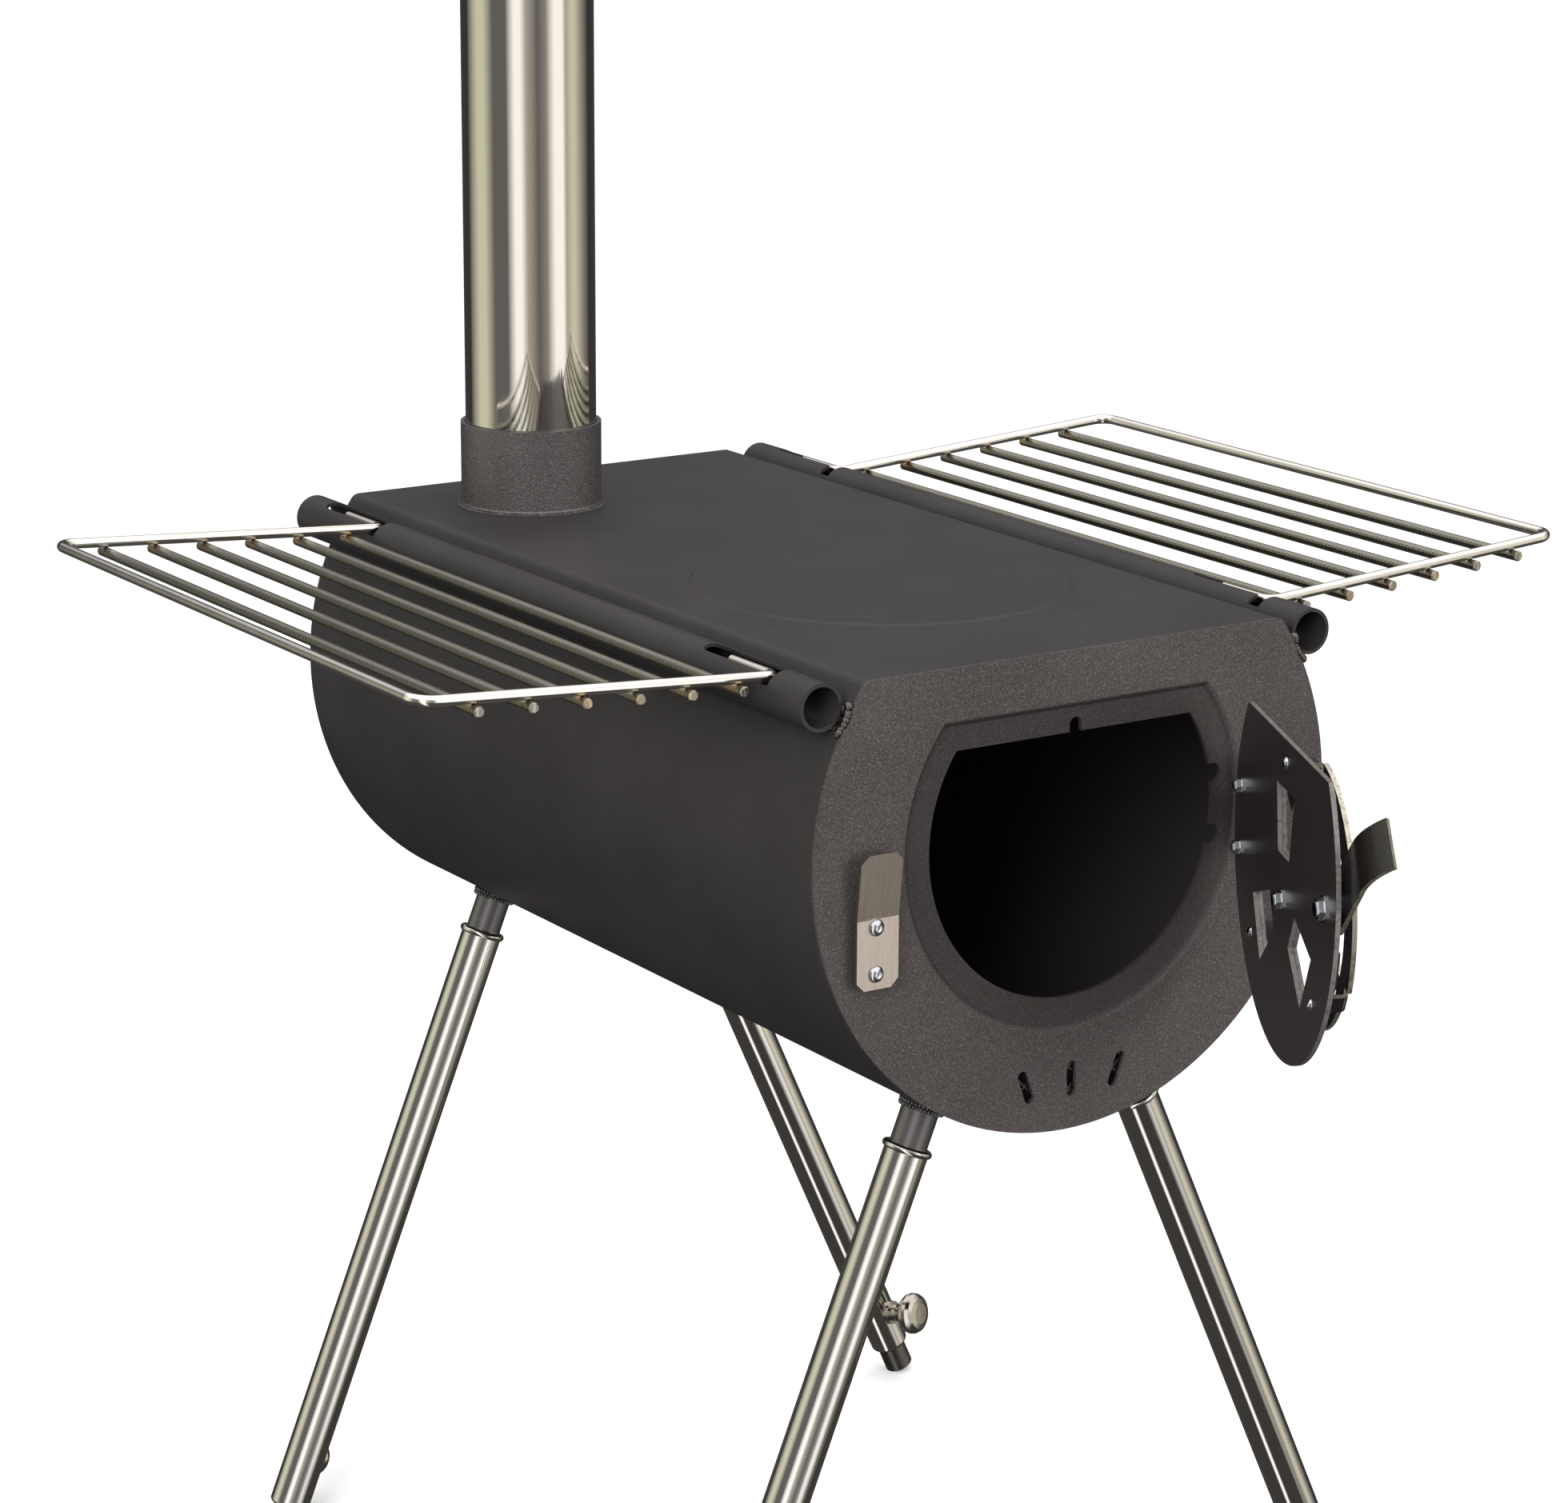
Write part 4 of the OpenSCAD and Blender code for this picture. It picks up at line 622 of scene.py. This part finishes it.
def make_keeper_screws():
    mesh, shape = bpy.data.meshes.new("keeper_socket_screws"), bmesh.new()
    for z in KEEPER_SCREWS:
        verts = [shape.verts.new(point) for point in socket_screw(at(KEEPER_X, KEEPER_FACE, z), -BACK, UP)]
        for low in range(0, len(verts) - HEAD_SIDES, HEAD_SIDES):
            high = low + HEAD_SIDES
            for i in range(HEAD_SIDES):
                j = (i + 1) % HEAD_SIDES
                shape.faces.new((verts[low + i], verts[low + j], verts[high + j], verts[high + i]))
        shape.faces.new(verts[:HEAD_SIDES][::-1])
        shape.faces.new(verts[-HEAD_SIDES:])
    bmesh.ops.recalc_face_normals(shape, faces=shape.faces)
    shape.to_mesh(mesh)
    shape.free()
    for face in mesh.polygons:
        face.use_smooth = len(face.vertices) == 4
    mesh.materials.append(zinc)
    screws = bpy.data.objects.new("keeper_socket_screws", mesh)
    bpy.context.scene.collection.objects.link(screws)
    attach(screws, "stove")
    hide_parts("keeper_screws")


make_keeper_screws()

# Floor and lamps, in metres and watts. A lamp has a place, a point that it shines at, a width and a power.
# They are a key from the left, a front fill and a weak one overhead.
FLOOR_REACH = 60
LAMPS = [
    ("key", (-2.5, -1.8, 1.7), (0, 0, 0.45), 1.6, 74),
    ("front", (0.9, -3.0, 1.2), (0, 0, 0.4), 1.4, 44),
    ("top", (0.3, 0.0, 3.0), (0, 0, 0.4), 1.8, 16),
]


def make_floor():
    corners = [(x * FLOOR_REACH, y * FLOOR_REACH, 0) for x, y in ((-1, -1), (1, -1), (1, 1), (-1, 1))]
    mesh = bpy.data.meshes.new("floor")
    mesh.from_pydata(corners, [], [(0, 1, 2, 3)])
    floor = bpy.data.objects.new("floor", mesh)
    bpy.context.scene.collection.objects.link(floor)
    floor.visible_glossy = floor.visible_diffuse = False
    material, tree = start_material("pale_floor")
    close_material(tree, {"Base Color": colour("fdfdfd"), "Roughness": 0.9, "Specular IOR Level": 0.0})
    mesh.materials.append(material)


def make_lamps():
    for name, spot, aim, width, power in LAMPS:
        data = bpy.data.lights.new(name, "AREA")
        data.shape = "RECTANGLE"
        data.size = data.size_y = width
        data.energy = power
        lamp = bpy.data.objects.new(name, data)
        lamp.location = spot
        lamp.rotation_euler = (Vector(aim) - Vector(spot)).to_track_quat("-Z", "Y").to_euler()
        bpy.context.scene.collection.objects.link(lamp)
        lamp.visible_glossy = False


# The studio that a polished tube sees round it: six plain tones, each on a stretch of wall between two
# compass directions in degrees, 0 towards the camera's side. Two white softboxes stand in it, a narrow and a
# wide one.
DIM, GREY, MIDDLE, SOFT, PALE, WHITE = "343434", "606060", "888480", "aaa49c", "c8c8b4", "ffffff"
WALLS = [(-180, DIM), (-125, DIM), (-95, PALE), (-80, PALE), (-60, GREY), (-35, GREY), (-20, WHITE),
         (-10, WHITE), (0, SOFT), (20, GREY), (35, MIDDLE), (50, WHITE), (65, WHITE), (72, SOFT), (85, PALE),
         (90, PALE), (110, MIDDLE), (130, DIM), (180, DIM)]

# The heights, from -1 straight down to 1 straight up, between which each of these gives way to the walls or
# to white
CEILING, CEILING_FROM, CEILING_WHOLE = "f0eeee", 0.34, 0.7
GROUND, GROUND_WHOLE, GROUND_FROM = "3a3836", -0.5, -0.3
SHADED, SHADED_WHOLE, SHADED_FROM = "5c5a60", -0.5, 0.0

# The narrow softbox stands on the floor, so no ground shows in front of it. Its place and the two distances
# from it are shares of the whole turn.
NARROW_BOX = 0.4583
BOX_NEAR, BOX_FAR = 0.02, 0.045

# How much brighter the room is where shiny pieces reflect it
REFLECTED = 1.55


def make_world():
    """Soft white light, shaded from below. What shiny pieces reflect is the studio's walls, ceiling and
    ground."""
    world = bpy.data.worlds.new("studio")
    bpy.context.scene.world = world
    world.use_nodes = True
    tree = world.node_tree
    tree.nodes.clear()
    way = put(tree, "ShaderNodeTexCoord").outputs["Generated"]
    turned = put(tree, "ShaderNodeMapping", {"Vector": way, "Rotation": (0, 0, YAW + math.pi / 2)})
    parts = put(tree, "ShaderNodeSeparateXYZ", {"Vector": turned}).outputs
    angle = put(tree, "ShaderNodeMath", {0: parts["Y"], 1: parts["X"]}, operation="ARCTAN2")
    turn = put(tree, "ShaderNodeMapRange", {"Value": angle, "From Min": -math.pi, "From Max": math.pi})
    walls = put(tree, "ShaderNodeValToRGB", {"Fac": turn},
                stops=[((degrees + 180) / 360, code) for degrees, code in WALLS])
    ceiling = put(tree, "ShaderNodeMapRange",
                  {"Value": parts["Z"], "From Min": CEILING_FROM, "From Max": CEILING_WHOLE})
    ground = put(tree, "ShaderNodeMapRange",
                 {"Value": parts["Z"], "From Min": GROUND_WHOLE, "From Max": GROUND_FROM, "To Min": 1.0,
                  "To Max": 0.0})
    off_box = put(tree, "ShaderNodeMath", {0: turn, 1: NARROW_BOX}, operation="SUBTRACT")
    off_box = put(tree, "ShaderNodeMath", {0: off_box}, operation="ABSOLUTE")
    beside_box = put(tree, "ShaderNodeMapRange",
                     {"Value": off_box, "From Min": BOX_NEAR, "From Max": BOX_FAR})
    ground = put(tree, "ShaderNodeMath", {0: ground, 1: beside_box}, operation="MULTIPLY")
    open_air = put(tree, "ShaderNodeMapRange",
                   {"Value": parts["Z"], "From Min": SHADED_WHOLE, "From Max": SHADED_FROM})
    soft = put(tree, "ShaderNodeMix", {"Factor": open_air, "A": colour(SHADED), "B": colour(WHITE)},
               data_type="RGBA")
    room = put(tree, "ShaderNodeMix", {"Factor": ceiling, "A": walls, "B": colour(CEILING)}, data_type="RGBA")
    room = put(tree, "ShaderNodeMix", {"Factor": ground, "A": room, "B": colour(GROUND)}, data_type="RGBA")
    glossy = put(tree, "ShaderNodeLightPath").outputs["Is Glossy Ray"]
    shade = put(tree, "ShaderNodeMix", {"Factor": glossy, "A": soft, "B": room}, data_type="RGBA")
    strength = put(tree, "ShaderNodeMapRange", {"Value": glossy, "To Min": 1.0, "To Max": REFLECTED})
    light = put(tree, "ShaderNodeBackground", {"Color": shade, "Strength": strength})
    put(tree, "ShaderNodeOutputWorld", {"Surface": light})


make_floor()
make_lamps()
make_world()
bpy.context.scene.view_settings.view_transform = "Standard"
